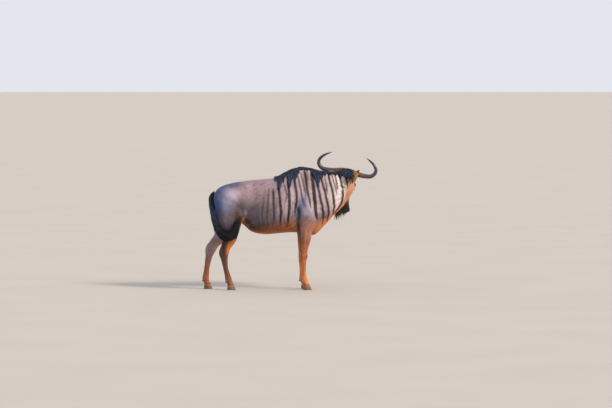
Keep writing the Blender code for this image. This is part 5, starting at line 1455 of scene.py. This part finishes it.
# %% Strands along the locks
def strands(paths, outs, each, wide, deep, width, draw, gather=0.82, shortest=0.70, rings=6):
    """Strands that follow their lock, as points, faces, values and places in the unwrap."""
    paths = smooth_paths(paths)
    lock = np.repeat(np.arange(len(paths)), each)
    count = len(lock)
    t = np.linspace(0, 1, rings + 1)[None, :] * draw.uniform(shortest, 1.0, count)[:, None]
    line = read_path(paths[lock], t)
    out = unit(read_path(outs[lock], t))
    along = np.gradient(line, axis=1)
    along = unit(along)
    across = unit(np.cross(along, out))
    out = np.cross(across, along)
    wide_here = np.asarray(wide)[lock] if np.ndim(wide) else np.full(count, wide)
    aside = draw.normal(0, 0.42, count).clip(-1, 1) * wide_here
    raised = draw.uniform(0, 1, count) ** 1.3 * deep
    drawn_in = 1 - gather * t**1.4
    curl = 0.10 * wide_here[:, None] * np.sin(t * draw.uniform(3, 7, count)[:, None] + draw.uniform(0, 6, count)[:, None]) * t
    line = line + across * (aside[:, None] * drawn_in + curl)[..., None]
    line = line + out * (raised[:, None] * (1 - 0.75 * t**2))[..., None]
    thick = width * draw.uniform(0.7, 1.2, count)[:, None] * (1 - 0.75 * t**2.0)
    ring = line[:, :-1]
    w = thick[:, :-1, None]
    a, o = across[:, :-1], out[:, :-1]
    corners = np.stack([ring - a * w * 0.5, ring + o * w * 0.42, ring + a * w * 0.5], axis=2)
    points = np.concatenate([corners.reshape(count, -1, 3), line[:, -1:, :]], axis=1)
    size = 3 * rings + 1
    faces = [(0, 2, 1)]
    for row in range(rings - 1):
        for k in range(3):
            p, q = 3 * row + k, 3 * row + (k + 1) % 3
            faces += [(p, q, q + 3), (p, q + 3, p + 3)]
    last = 3 * (rings - 1)
    faces += [(last + k, last + (k + 1) % 3, size - 1) for k in range(3)]
    all_faces = (np.array(faces)[None] + size * np.arange(count)[:, None, None]).reshape(-1, 3)
    share = np.concatenate([np.repeat(t[:, :-1], 3, axis=1), t[:, -1:]], axis=1)
    _, _, root_faces = nearest_on_skin(line[:, 0])
    across_patch = np.array([0, 0.5, 1.0] * rings + [0.5])
    flat = flat_places[root_faces][:, None, :] + 0.003 * np.stack([np.tile(across_patch, (count, 1)), share], axis=-1)
    chance = np.repeat(draw.random(count)[:, None], size, axis=1)
    values = {"along": share.ravel(), "chance": chance.ravel(), "strands": points.reshape(-1, 3) * 0.2 + chance.reshape(-1, 1)}
    return points.reshape(-1, 3), all_faces, values, flat.reshape(-1, 2)


def hair_piece(name, nodes, groups, material=None):
    """One piece of long hair from one or more groups of strands."""
    base, points, faces, flats = 0, [], [], []
    values = {"along": [], "chance": [], "strands": []}
    for some_points, some_faces, some_values, flat in groups:
        points.append(some_points)
        faces.append(some_faces + base)
        flats.append(flat)
        for key in values:
            values[key].append(some_values[key])
        base += len(some_points)
    obj = mesh_of(name, np.vstack(points), np.vstack(faces))
    add_flat_places(obj, np.vstack(flats))
    return dress(obj, material or HAIR, nodes, {key: np.concatenate(value) for key, value in values.items()})


print("strands can be made")

# %% [markdown]
# ### The mane
#
# The crest runs from behind the withers to the poll. On the near side its locks fall in dark
# triangles as far as the shoulder, with gaps where the striped coat shows, then thin out along
# the neck. A groom would lay guide hairs. Here each lock is given its root, the place of its tip
# and how far it falls, and its path is found by looking for the skin at each height.

# %% Mane
MANE_START, MANE_END = -0.172, 0.628


class Crest:
    """The line of back and neck that the mane grows along, read by its share of length."""

    def __init__(self):
        rows = through(TRUNK, 400)
        rows = rows[(rows[:, 0] >= MANE_START) & (rows[:, 0] <= MANE_END) & (rows[:, 1] > 1.2)]
        self.points = np.stack([rows[:, 0], rows[:, 7], rows[:, 1]], axis=1)
        turn = np.radians(rows[:, 6])
        self.outs = np.stack([-np.sin(turn), np.cos(turn), 0 * turn], axis=1)
        steps = np.linalg.norm(np.diff(self.points, axis=0), axis=1)
        self.passed = np.concatenate([[0], np.cumsum(steps)])
        self.length = self.passed[-1]

    def at(self, share):
        place = np.asarray(share) * self.length
        point = np.stack([np.interp(place, self.passed, self.points[:, k]) for k in range(3)], axis=-1)
        return point, np.stack([np.interp(place, self.passed, self.outs[:, k]) for k in range(3)], axis=-1)


CREST = Crest()


def on_flank(share, side, drop):
    """The skin's point and outward direction below the crest, on one side, for many places."""
    top, out = CREST.at(share)
    aim = -out * side
    start = top + out * side * 0.7 - np.array((0, 0, 1)) * np.maximum(drop, 0.012)[:, None]
    places, outs = top.copy(), out * side
    for i in range(len(top)):
        place, normal, _, _ = skin_tree.ray_cast(Vector(start[i]), Vector(aim[i]))
        if place is not None:
            places[i], outs[i] = place, normal
    return places, outs


def flank_paths(first, last, drop, side, lift, draw, steps=9):
    """Paths from the crest over the edge and down the flank, from one share of the crest to another."""
    count = len(first)
    paths, outs = [], []
    for k in range(steps + 1):
        s = k / steps
        share = first + (last - first) * s**1.15
        if k == 0:
            top, out = CREST.at(first)
            paths.append(top + out * side * draw.uniform(0.001, 0.008, count)[:, None] - np.array((0, 0, 0.001)))
            outs.append(unit(out * side * 0.4 + np.array((0, 0, 1.0))))
            continue
        place, normal = on_flank(share, side, drop * s)
        arch = 0.004 + lift * (0.35 + 0.65 * math.sin(math.pi * min(s * 1.15, 1.0)))
        paths.append(place + normal * arch[:, None] + np.array((0, 0, 0.010)) * (1 - s) ** 3)
        outs.append(normal)
    return np.stack(paths, axis=1), np.stack(outs, axis=1)


def share_of(x):
    """The crest's share of length at a place along the body."""
    return np.interp(x, CREST.points[:, 0], CREST.passed / CREST.length)


# Near side: roots from and to, the tip's place, how far it falls, and how many locks run to it.
NEAR_LOCKS = (
    (-0.170, -0.130, -0.183, 0.060, 4),
    (-0.138, -0.068, -0.121, 0.170, 8),
    (-0.085, -0.050, -0.073, 0.110, 4),
    (-0.034, 0.045, -0.003, 0.205, 9),
    (0.020, 0.100, 0.058, 0.160, 8),
    (0.070, 0.125, 0.098, 0.070, 5),
    (0.110, 0.180, 0.135, 0.030, 6),
    (0.165, 0.245, 0.200, 0.030, 6),
    (0.232, 0.330, 0.318, 0.185, 9),
    (0.300, 0.365, 0.345, 0.110, 6),
    (0.345, 0.420, 0.385, 0.048, 6),
    (0.400, 0.475, 0.440, 0.036, 6),
    (0.455, 0.530, 0.498, 0.034, 6),
    (0.510, 0.580, 0.552, 0.044, 6),
    (0.560, 0.628, 0.600, 0.065, 6),
)
# Filling under the long locks: from, to, fall.
NEAR_FILL = ((-0.140, -0.055, 0.080), (-0.032, 0.095, 0.105), (0.245, 0.350, 0.080))


def mane_groups():
    """Every lock's first and last place on the crest, fall, side and layer."""
    draw = np.random.default_rng(200)
    rows = []
    for first, last, tip, fall, count in NEAR_LOCKS:
        for x in np.linspace(first, last, count):
            reach = 1 - 0.35 * abs(2 * (x - first) / (last - first) - 1) * draw.uniform(0.2, 1.0)
            rows.append((x, tip + draw.normal(0, 0.004), fall * reach, -1, 1))
    for first, last, fall in NEAR_FILL:
        for x in np.arange(first, last, 0.009):
            rows.append((x, x - 0.008 + draw.normal(0, 0.006), fall * draw.uniform(0.6, 1.1), -1, 0))
    for tip in np.arange(-0.165, 0.60, 0.052):
        fall = draw.uniform(0.15, 0.24) * (0.55 + 0.45 * float(ease(tip, -0.17, -0.08)))
        for x in np.linspace(tip - 0.030, tip + 0.050, 7):
            rows.append((x, tip + draw.normal(0, 0.006), fall * draw.uniform(0.6, 1.0), 1, 1))
    for x in np.arange(-0.160, 0.62, 0.011):
        rows.append((x, x - 0.010, draw.uniform(0.06, 0.12), 1, 0))
    rows = np.array(rows)
    return rows[(rows[:, 0] > MANE_START) & (rows[:, 0] < MANE_END)]


MANE_ROWS = mane_groups()


def poll_strands(draw):
    """The hair on the back of the skull, from between the horns down to the neck and the ears."""
    count = 100
    b, c = draw.uniform(-0.080, 0.080, count), draw.uniform(-0.185, 0.000, count)
    start = from_head(np.stack([np.full(count, -0.30), b, c], axis=1))
    met = [skin_tree.ray_cast(Vector(p), Vector(head_direction(1, 0, 0)), 0.36)[0] for p in start]
    kept = [place is not None and to_head(np.array(place))[0] < 0.005 for place in met]
    roots = np.array([place for place, keep in zip(met, kept) if keep])
    b = b[kept]
    count = len(roots)
    aims = -LEVEL * 1.0 - RISE * 0.05 + LEFT * (b * 7)[:, None] + draw.normal(0, 0.10, (count, 3))
    length = draw.uniform(0.045, 0.078, count) * (1 - 0.50 * ease(b, -0.02, 0.05))
    paths, outs = fallen(roots, aims, length, draw.uniform(0.002, 0.005, count), 0.42)
    return strands(paths, outs, 22, 0.016, 0.005, 0.0034, draw, gather=0.60)


def mane_part(name, node, low, high, seed):
    draw = np.random.default_rng(seed)
    share = share_of(MANE_ROWS[:, 0])
    mine = MANE_ROWS[(share >= low) & (share < high)]
    groups = []
    for side in (-1, 1):
        for layer, each in ((0, 14), (1, 24)):
            rows = mine[(mine[:, 3] == side) & (mine[:, 4] == layer)]
            if len(rows) == 0:
                continue
            lift = np.full(len(rows), 0.003 + 0.005 * layer)
            paths, outs = flank_paths(share_of(rows[:, 0]), share_of(rows[:, 1]), rows[:, 2], side, lift, draw)
            wide = np.clip(rows[:, 2] * 0.14, 0.008, 0.018)
            groups.append(strands(paths, outs, each, wide, 0.006, 0.0032, draw, gather=0.92, shortest=0.78))
    if high > 1:
        groups.append(poll_strands(draw))
    for side in (-1, 1):
        count = 30
        point, out = CREST.at(np.linspace(low, high, count))
        root = point + out * side * 0.004
        aims = out * side * 0.45 + np.array((-0.80, 0, 0.55)) + draw.normal(0, 0.08, (count, 3))
        length = draw.uniform(0.034, 0.050, count) * (0.35 + 0.65 * ease(point[:, 0], MANE_START, -0.05))
        paths, _ = fallen(root, aims, length, np.full(count, 0.002), 0.30)
        outs = np.repeat((out * side)[:, None, :], paths.shape[1], axis=1)
        groups.append(strands(paths, outs, 22, 0.018, 0.008, 0.0028, draw, gather=0.5))
    return hair_piece(name, [node], groups)


for number, (name, low, high) in enumerate((("mane_withers_hair", 0.0, 0.36), ("mane_neck_hair", 0.36, 0.68), ("mane_nape_hair", 0.68, 1.01))):
    mane_part(name, name[:-5], low, high, 200 + number)

# %% [markdown]
# ### Beard and forelock
#
# The beard hangs from chin, jaw and throat, thin and ragged at its end. The forelock falls from
# between the horns and covers the forehead. Both use the lock code of the mane.

# %% Beard and forelock
def beard_part(name, node, roots, outs, acrosses, first, last, each, seed):
    draw = np.random.default_rng(seed)
    groups = []
    count = len(roots)
    share = np.linspace(0, 1, count)
    for row in (-1.0, -0.5, 0.0, 0.5, 1.0):
        start = roots + acrosses * row * 0.014 + outs * 0.001
        aims = outs * 0.35 + acrosses * row * 0.35 + np.array((0, 0, -0.7)) + draw.normal(0, 0.10, (count, 3))
        length = (first + (last - first) * share) * draw.uniform(0.65, 1.10, count)
        paths, normals = fallen(start, aims, length, np.full(count, 0.003), 0.45)
        side = unit(acrosses * (row + 0.2))[:, None, :] + 0 * paths
        groups.append(strands(paths, side, each, 0.016, 0.006, 0.0026, draw, gather=0.55, shortest=0.55))
    return hair_piece(name, [node], groups, BEARD_HAIR)


jaw_share = np.linspace(0.410, 0.290, 12)
jaw_places = np.stack([jaw_share, 0 * jaw_share, -0.190 + 0.080 * ease(jaw_share, 0.14, 0.385)], axis=1)
down_face, left_face = head_direction(0, 0, -1), head_direction(0, 1, 0)
beard_part("beard_jaw_hair", "beard_jaw", from_head(jaw_places), np.tile(down_face, (12, 1)), np.tile(left_face, (12, 1)),
           0.085, 0.110, 12, 301)
throat_rows = through(TRUNK, 200)
throat_rows = throat_rows[(throat_rows[:, 2] > 0.515) & (throat_rows[:, 7] < 0.110)]
throat_rows = throat_rows[np.linspace(0, len(throat_rows) - 1, 11).astype(int)]
turn = np.radians(throat_rows[:, 6])
throat = np.stack([throat_rows[:, 2], throat_rows[:, 7], throat_rows[:, 3]], axis=1)
ahead = np.stack([np.cos(turn), np.sin(turn), 0 * turn], axis=1)
beard_part("beard_throat_hair", "beard_throat", throat, unit(ahead * 0.6 + np.array((0, 0, -0.8))),
           np.stack([-np.sin(turn), np.cos(turn), 0 * turn], axis=1), 0.105, 0.150, 5, 302)


def forelock(seed):
    draw = np.random.default_rng(seed)
    count = 34
    a, b = draw.uniform(-0.020, 0.075, count), draw.uniform(-0.050, 0.055, count)
    root = from_head(np.stack([a, b, np.full(count, 0.004)], axis=1))
    aims = np.stack([np.full(count, 0.85), b * 7, np.full(count, 0.42)], axis=1) @ HEAD_AXES.T
    length = draw.uniform(0.070, 0.115, count)
    paths, outs = fallen(root, aims, length, draw.uniform(0.003, 0.010, count), 0.22)
    groups = [strands(paths, outs, 40, 0.014, 0.008, 0.0026, draw)]
    return hair_piece("forelock_hair", ["forelock"], groups)


forelock(303)

# %% [markdown]
# ### The tail
#
# The tail hangs from the croup and its long tuft swings forward round the right thigh. Its strands
# run along one smooth line, each starting at its own place, so that the tuft thins to a point.

# %% Tail
TAIL = (
    ("dock root", -0.812, 0.000, 1.128, 0.016),
    ("dock top", -0.870, 0.000, 1.108, 0.024),
    ("dock", -0.900, -0.012, 1.040, 0.032),
    ("dock end", -0.898, -0.090, 0.956, 0.031),
    ("tuft top", -0.882, -0.185, 0.876, 0.027),
    ("tuft", -0.862, -0.228, 0.796, 0.026),
    ("tuft swing", -0.838, -0.250, 0.718, 0.034),
    ("low swing", -0.793, -0.266, 0.650, 0.046),
    ("lowest", -0.736, -0.270, 0.616, 0.056),
    ("forward", -0.682, -0.272, 0.616, 0.056),
    ("rising", -0.645, -0.268, 0.650, 0.046),
    ("thin", -0.619, -0.264, 0.704, 0.033),
    ("wisp", -0.602, -0.258, 0.766, 0.019),
    ("end", -0.588, -0.252, 0.832, 0.005),
)


def tail_line():
    rows = through(TAIL, 90)
    line = rows[:, :3].copy()
    near, normal, _ = nearest_on_skin(line)
    low = (line[:, 2] < 1.08) & (dot(line - near, normal) < rows[:, 3] * 0.8 + 0.004)
    line[low] = (near + normal * (rows[:, 3] * 0.8 + 0.004)[:, None])[low]
    return line, rows[:, 3]


def tail_part(name, node, low, high, count, reach, seed, material):
    draw = np.random.default_rng(seed)
    line, thick = tail_line()
    total = len(line) - 1
    along = unit(np.gradient(line, axis=0))
    up = unit(np.array((0.0, 1.0, 0.25)))
    across = unit(np.cross(along, up))
    out = np.cross(across, along)
    start = draw.uniform(low, max(high - reach * 0.6, low + 0.02), count)
    end = np.minimum(start + reach * draw.uniform(0.7, 1.25, count), high)
    share = start[:, None] + (end - start)[:, None] * np.linspace(0, 1, 10)
    angle = draw.uniform(0, 2 * np.pi, count)
    place = share * total
    i = np.minimum(place.astype(int), total - 1)
    t = (place - i)[..., None]
    centre = line[i] * (1 - t) + line[i + 1] * t
    side, face = unit(across[i]), unit(out[i])
    radial = side * np.cos(angle)[:, None, None] + face * np.sin(angle)[:, None, None]
    radius = thick[i] * draw.uniform(0.35, 1.0, count)[:, None] * np.linspace(0.60, 1.0, 10) ** 0.5
    wave = draw.uniform(2, 9, count)[:, None] * np.linspace(0, 1, 10) + draw.uniform(0, 6, count)[:, None]
    stray = 1 + 0.25 * np.sin(wave) + 0.35 * (draw.random(count) > 0.88)[:, None] * np.linspace(0, 1, 10)
    paths = centre + radial * (radius * stray)[..., None]
    groups = [strands(paths, radial, 6, 0.012, 0.005, 0.0030, draw, gather=0.4, shortest=0.80, rings=7)]
    return hair_piece(name, [node], groups, material)


tail_part("tail_dock_hair", "tail_dock", 0.055, 0.54, 390, 0.14, 401, HAIR)
tail_part("tail_tuft_hair", "tail_tuft", 0.40, 1.0, 600, 0.24, 402, TAIL_HAIR)

# %% [markdown]
# ## Horns
#
# The horns of a bull start in two rough bosses that almost meet, sweep sideways, then turn up and
# in. A tube is lofted through the same stations as the solids. Its first part carries growth rings
# and lumps, and it becomes smooth towards the polished tip.

# %% Horns
# Outwards, forwards and upwards of the poll as the head is held, then half sizes.
HORN = (
    ("boss", 0.016, 0.032, 0.007, 0.040, 0.048),
    ("root", 0.050, 0.046, 0.010, 0.038, 0.047),
    ("beam", 0.105, 0.056, 0.003, 0.033, 0.038),
    ("low beam", 0.165, 0.060, -0.005, 0.0290, 0.0310),
    ("turn", 0.225, 0.062, -0.007, 0.0265, 0.0270),
    ("low bend", 0.288, 0.062, 0.002, 0.0240, 0.0240),
    ("bend", 0.329, 0.060, 0.041, 0.0215, 0.0215),
    ("rise", 0.334, 0.056, 0.090, 0.0185, 0.0185),
    ("high bend", 0.304, 0.052, 0.137, 0.0155, 0.0155),
    ("spike", 0.256, 0.052, 0.174, 0.0108, 0.0108),
    ("tip", 0.203, 0.056, 0.202, 0.0022, 0.0022),
)


def horn(name, node, side):
    rows = through(HORN, 210)
    middle = POLL + LEFT * HORN_SHIFT
    spread_out = 0.335 / 0.333
    centres = middle + np.outer(side * rows[:, 0] * spread_out, LEFT) + np.outer(rows[:, 1], LEVEL) + np.outer(rows[:, 2], RISE)
    along = unit(np.gradient(centres, axis=0))
    rings, shares = [], []
    sides = 36
    for i, row in enumerate(rows):
        share = i / (len(rows) - 1)
        across = unit(np.cross(LEVEL, along[i]))
        fore = unit(np.cross(along[i], across))
        rough = 1 - ease(share, 0.22, 0.50)
        ring = oval(centres[i], across, fore, row[3], row[4], row[4], sides)
        ridge = 0.030 * math.sin(share * 190 + 2.0 * math.sin(share * 31)) * rough
        lump = np.array([noise.noise(Vector(p) * 55) for p in ring]) * 0.075 * rough
        lump += np.array([noise.noise(Vector(p) * 160) for p in ring]) * 0.035 * rough
        ring = centres[i] + (ring - centres[i]) * (0.985 + ridge + lump)[:, None]
        rings.append(ring)
        shares += [share] * sides
    points, faces = loft(rings)
    if side > 0:
        faces = faces[:, ::-1]
    shares += [0.0, 1.0]
    obj = mesh_of(name, points, faces)
    local = np.stack([dot(points - middle, LEVEL), dot(points - middle, RISE), np.array(shares) * 0.6], axis=1)
    return dress(obj, HORN_FINISH, [node], {"along": np.array(shares), "strands": local})


horn("horn_left_shell", "horn_left", 1)
horn("horn_right_shell", "horn_right", -1)

# %% [markdown]
# ## Ears
#
# An ear is a thin leaf rolled into a cup. It is lofted as a crescent from root to tip, brown and
# dark-tipped outside, with pale long hairs that grow from its inner edges.

# %% Ears
def ear_axes(side):
    root = from_head((EAR_ROOT[0], side * EAR_ROOT[1], EAR_ROOT[2]))
    if side < 0:
        point, mouth = np.array((0.34, -0.60, 0.66)), np.array((0.55, 0.80, 0.10))
    else:
        point, mouth = np.array((-0.80, 0.38, 0.26)), np.array((0.10, 0.80, -0.45))
    point = unit(point)
    mouth = unit(mouth - point * dot(mouth, point))
    return root, point, mouth, np.cross(point, mouth)


def ear_finish():
    material, wire, shader = finish("ear", Sheen_Weight=0.25, Sheen_Roughness=0.5, Specular_IOR_Level=0.3)
    place = attribute(wire, "strands", "Vector")
    grain = speckle(wire, place, 420.0)
    colour = mixed(wire, between(wire, grain, 0.3, 0.7) * 0.5, attribute(wire, "ground", "Color"), tuple(paint(70, 48, 36)), "MULTIPLY")
    feed(wire, shader, "Base Color", colour)
    feed(wire, shader, "Roughness", between(wire, grain, 0.2, 0.8, 0.55, 0.75))
    feed(wire, shader, "Normal", bump(wire, grain, 0.5, 0.002))
    return material


EAR_FINISH = ear_finish()
EAR_HAIR = hair_finish("ear_hair", tuple(paint(150, 122, 96)), tuple(paint(206, 184, 156)), 0.5)


def ear(name, node, side):
    root, point, mouth, across = ear_axes(side)
    steps, arc = 60, 22
    rings, grounds, shares = [], [], []
    # Painted sunlight and shade: the near ear's outside is a bright lit orange, the far ear's the same brown in shade.
    outer = paint(214, 148, 72) if side < 0 else paint(112, 78, 54)
    inner, dark = paint(206, 158, 122), paint(34, 30, 32)
    edges = []
    for i in range(steps + 1):
        t = i / steps
        half = 0.024 * (0.55 + 0.90 * math.sin(math.pi * min(0.94 * t + 0.05, 1.0)) ** 0.75) * math.sqrt(1 - t**6)
        half = max(half, 0.0040)
        curl = math.radians(158 - 60 * t)
        wall = 0.0030 + 0.0016 * (1 - t)
        centre = root + point * EAR_LENGTH * (0.97 * t - 0.10) + mouth * (-0.018 * math.sin(math.pi * t))
        radius = half / math.sin(min(curl / 2, math.pi / 2) * 0.98)
        angle = -curl / 2 + curl * np.linspace(0, 1, arc)
        out = -np.cos(angle)[:, None] * mouth + np.sin(angle)[:, None] * across
        far = centre + out * radius * (1 + 0.012 * np.sin(t * 60 + angle * 9))[:, None]
        thin = wall * (0.25 + 0.75 * np.sin(np.linspace(0, math.pi, arc)))
        close = centre + out * np.maximum(radius - thin, radius * 0.3)[:, None]
        rings.append(np.vstack([far, close[::-1]]))
        tip = float(ease(t, 0.72, 0.95))
        rim = hill(np.abs(np.linspace(-1, 1, arc)) - 1, 0.18)
        outside = outer * (1 - tip) + dark * tip
        middle = 0.75 * hill(np.linspace(-1, 1, arc) - 0.05, 0.34)[:, None] * hill(t - 0.58, 0.20)
        outside = outside + (dark - outside) * middle
        inside = inner * (1 - tip) + dark * tip
        grounds.append(np.vstack([outside + (dark - outside) * 0.50 * rim[:, None], (inside + (dark - inside) * 0.4 * rim[:, None])[::-1]]))
        shares.append(np.full(2 * arc, t))
        edges.append((close[1], close[-2], out[1], out[-2]))
    points, faces = loft(rings)
    ground = np.vstack([*grounds, outer[None], dark[None]])
    obj = mesh_of(name, points, faces)
    dress(obj, EAR_FINISH, [node], {"ground": ground, "strands": drawn_out(points, np.tile(point, (len(points), 1)))})
    draw = np.random.default_rng(500 + side)
    groups = []
    for edge, turn in ((0, 1), (1, -1)):
        picks = np.arange(5, 46, 2)
        start = np.array([edges[k][edge] for k in picks])
        inward = -np.array([edges[k][edge + 2] for k in picks])
        aims = inward * 0.7 + point * 0.9 + mouth * 0.25 + draw.normal(0, 0.10, start.shape)
        length = draw.uniform(0.022, 0.036, len(picks)) * (1 - 0.4 * picks / 60)
        way = np.linspace(0, 1, 9)[None, :, None]
        paths = start[:, None] + unit(aims)[:, None] * length[:, None, None] * way
        outs = np.tile(mouth, (len(picks), 9, 1))
        groups.append(strands(paths, outs, 12, 0.008, 0.002, 0.0014, draw, gather=0.3, shortest=0.6, rings=4))
    return hair_piece(name + "_hair", [], groups, EAR_HAIR)


ear("ear_left_cup", "ear_left", 1)
ear("ear_right_cup", "ear_right", -1)

# %% [markdown]
# ## Eyes
#
# A wildebeest's eye is almost black, with a wide level pupil in a dark brown iris. The ball bulges
# a little at the front, where the clear coat gives it its wet light.

# %% Eyes
def eyeball(name, node, side):
    centre, look, fore, rise = eye_axes(side)
    rows, sides = 40, 64
    rings, grounds = [], []
    sclera, iris, pupil = paint(44, 32, 28), paint(52, 31, 20), paint(6, 6, 9)
    for i in range(1, rows):
        polar = math.pi * i / rows
        angle = np.linspace(0, 2 * math.pi, sides, endpoint=False)
        away = math.sin(polar)
        bulge = 1 + 0.045 * math.exp(-((polar / 0.50) ** 2))
        out = math.cos(polar) * look + away * (np.cos(angle)[:, None] * fore + np.sin(angle)[:, None] * rise)
        rings.append(from_head(centre + out * EYE_RADIUS * 0.985 * bulge))
        x, y = away * np.cos(angle), away * np.sin(angle)
        wide = np.hypot(x / 0.36, y / 0.20)
        colour = iris * (0.75 + 0.35 * np.sin(angle * 23)[:, None] * 0.4)
        dark = (1 - ease(wide, 0.85, 1.1))[:, None]
        colour = colour * (1 - dark) + pupil * dark
        white = float(ease(away, 0.62, 0.72)) if polar < math.pi / 2 else 1.0
        grounds.append(colour * (1 - white) + sclera * white)
    points, faces = loft(rings)
    if side < 0:
        faces = faces[:, ::-1]
    ground = np.vstack([*grounds, pupil[None], sclera[None]])
    return dress(mesh_of(name, points, faces), EYE_FINISH, [node], {"ground": ground})


eyeball("eye_left_ball", "eye_left", 1)
eyeball("eye_right_ball", "eye_right", -1)

# %% [markdown]
# ## Hooves
#
# Each foot ends in two claws, flat under and inside, rounded outside and pointed at the toe, with
# two small dewclaws behind. They are lofted closely through the solids' own rings.

# %% Hooves and dewclaws
HOOF_HEIGHT = 0.058


TOE, TOE_SLOPE = 1.66, 0.76  # reach of the toe at the ground and its loss up the wall, in hoof sizes


def claw(name, node, x, y, outwards, size):
    rings, shares = [], []
    for t in np.linspace(0, 1, 30):
        ridge = 1 + 0.012 * math.sin(t * 34) - 0.010 * float(ease(t, 0.0, 0.06) < 1) * (1 - float(ease(t, 0.0, 0.06)))
        front, back = size * (TOE - TOE_SLOPE * t) * ridge, size * (1.00 - 0.12 * t) * ridge
        width = size * (1.00 - 0.07 * t) * ridge
        angle = np.linspace(0, 2 * math.pi, 56, endpoint=False)
        c, s = np.cos(angle), np.sin(angle)
        fore = np.where(c > 0, front, back) * np.copysign(np.abs(c) ** 0.9, c)
        aside = np.maximum(s, 0) * width * (1 - 0.36 * np.maximum(c, 0))
        parted = 0.0012 + 0.05 * np.maximum(fore, 0)
        height = np.minimum(HOOF_HEIGHT * t, HOOF_HEIGHT - 0.003 + 0.10 * fore) if t > 0.6 else np.full(56, HOOF_HEIGHT * t)
        rings.append(np.stack([x + fore, y + outwards * (parted + aside), height], axis=1))
        shares += [t] * 56
    points, faces = loft(rings)
    if outwards > 0:
        faces = faces[:, ::-1]
    obj = mesh_of(name, points, faces)
    return dress(obj, HOOF_FINISH, [node], {"along": np.array(shares + [0.0, 1.0]), "strands": points})


def dewclaw(name, node, heel, outwards):
    point = unit(np.array((-0.55, 0.45 * outwards, -0.75)))
    across = unit(np.cross(point, (0, 0, 1)))
    fore = np.cross(across, point)
    rings, shares = [], []
    for t in np.linspace(0, 1, 14):
        wide = float(np.interp(t, (0, 0.5, 0.85, 1), (0.0115, 0.0105, 0.0065, 0.0022))) * (1 + 0.02 * math.sin(t * 40))
        rings.append(oval(heel + point * 0.036 * t, across, fore, wide, wide * 0.8, wide * 0.8, 18))
        shares += [1 - t] * 18
    points, faces = loft(rings)
    obj = mesh_of(name, points, faces)
    return dress(obj, HOOF_FINISH, [node], {"along": np.array(shares + [1.0, 0.0]), "strands": points})


for leg_name, stations, side, shift in LEGS:
    coronet, fetlock = stations[-1], stations[-3]
    for part, outwards in (("outer", side), ("inner", -side)):
        ending = f"{leg_name}_{part}"
        claw("claw_" + ending, "hoof_" + ending, coronet[1] + shift - 0.010, side * coronet[2], outwards, 0.0385)
        heel = np.array((fetlock[1] + shift - 0.020, side * fetlock[2] + outwards * 0.015, fetlock[3] - 0.006))
        dewclaw("spur_" + ending, "dewclaw_" + ending, heel, outwards)

# %% [markdown]
# ## Floor, light and camera
#
# The model stands on a plain pale floor that reaches the horizon. A warm soft light stands to the
# right, where the low sun was, and cool light fills from the left and above. The camera looks from
# 39 m away with a long lens, so the animal is small and hardly foreshortened.

# %% Floor and light
def floor_piece():
    angle = np.linspace(0, 2 * math.pi, 96, endpoint=False)
    rim = np.stack([np.cos(angle), np.sin(angle), 0 * angle], axis=1)
    rings = [rim * radius for radius in (6.0, 60.0, 900.0)]
    points = np.vstack([np.zeros((1, 3)), *rings])
    here, there = np.arange(96), np.roll(np.arange(96), -1)
    faces = [np.stack([0 * here, 1 + here, 1 + there], axis=1)]
    for k in (1, 97):
        faces.append(np.stack([k + here, k + 96 + here, k + 96 + there], axis=1))
        faces.append(np.stack([k + here, k + 96 + there, k + there], axis=1))
    obj = mesh_of("floor", points, np.vstack(faces))
    material, wire, shader = finish("floor", Roughness=0.9)
    shader.inputs["Specular IOR Level"].default_value = 0.15
    cloud = speckle(wire, wire.node("ShaderNodeTexCoord", output="Object"), 0.8, 3.0)
    colour = mixed(wire, between(wire, cloud, 0.3, 0.7) * 0.3, tuple(paint(190, 183, 175)), tuple(paint(182, 175, 167)))
    feed(wire, shader, "Base Color", colour)
    obj.data.materials.append(material)


def sun(name, place, strength, colour, wide):
    """A very distant soft lamp that shines from a place towards the animal."""
    data = bpy.data.lights.new(name, "SUN")
    data.energy, data.color, data.angle = strength, colour, math.radians(wide)
    obj = bpy.data.objects.new(name, data)
    bpy.context.scene.collection.objects.link(obj)
    obj.location = place
    obj.rotation_euler = (-Vector(place)).to_track_quat("-Z", "Y").to_euler()


floor_piece()
sun("key", (6.0, -4.6, 4.6), 3.1, (1.0, 0.87, 0.73), 14)
sun("fill", (-6.0, -5.0, 3.5), 0.35, (0.72, 0.84, 1.0), 60)
world = bpy.data.worlds.new("studio")
world.use_nodes = True
world.node_tree.nodes["Background"].inputs["Color"].default_value = (0.84, 0.86, 0.92, 1)
world.node_tree.nodes["Background"].inputs["Strength"].default_value = 0.92
bpy.context.scene.world = world
bpy.context.scene.view_settings.view_transform = "Standard"

# %% Camera
CAMERA_AWAY, CAMERA_HEIGHT, CAMERA_TILT = 39.0, 2.46, math.radians(2.17)
data = bpy.data.cameras.new("camera")
data.lens, data.sensor_width, data.clip_end = 199.8, 36.0, 500.0
camera = bpy.data.objects.new("camera", data)
bpy.context.scene.collection.objects.link(camera)
camera.location = Vector((0.184, -CAMERA_AWAY, CAMERA_HEIGHT)) + Vector(SHIFT)
camera.rotation_euler = (math.pi / 2 - CAMERA_TILT, 0, 0)
bpy.context.scene.camera = camera
print("camera at", [round(v, 3) for v in camera.location])
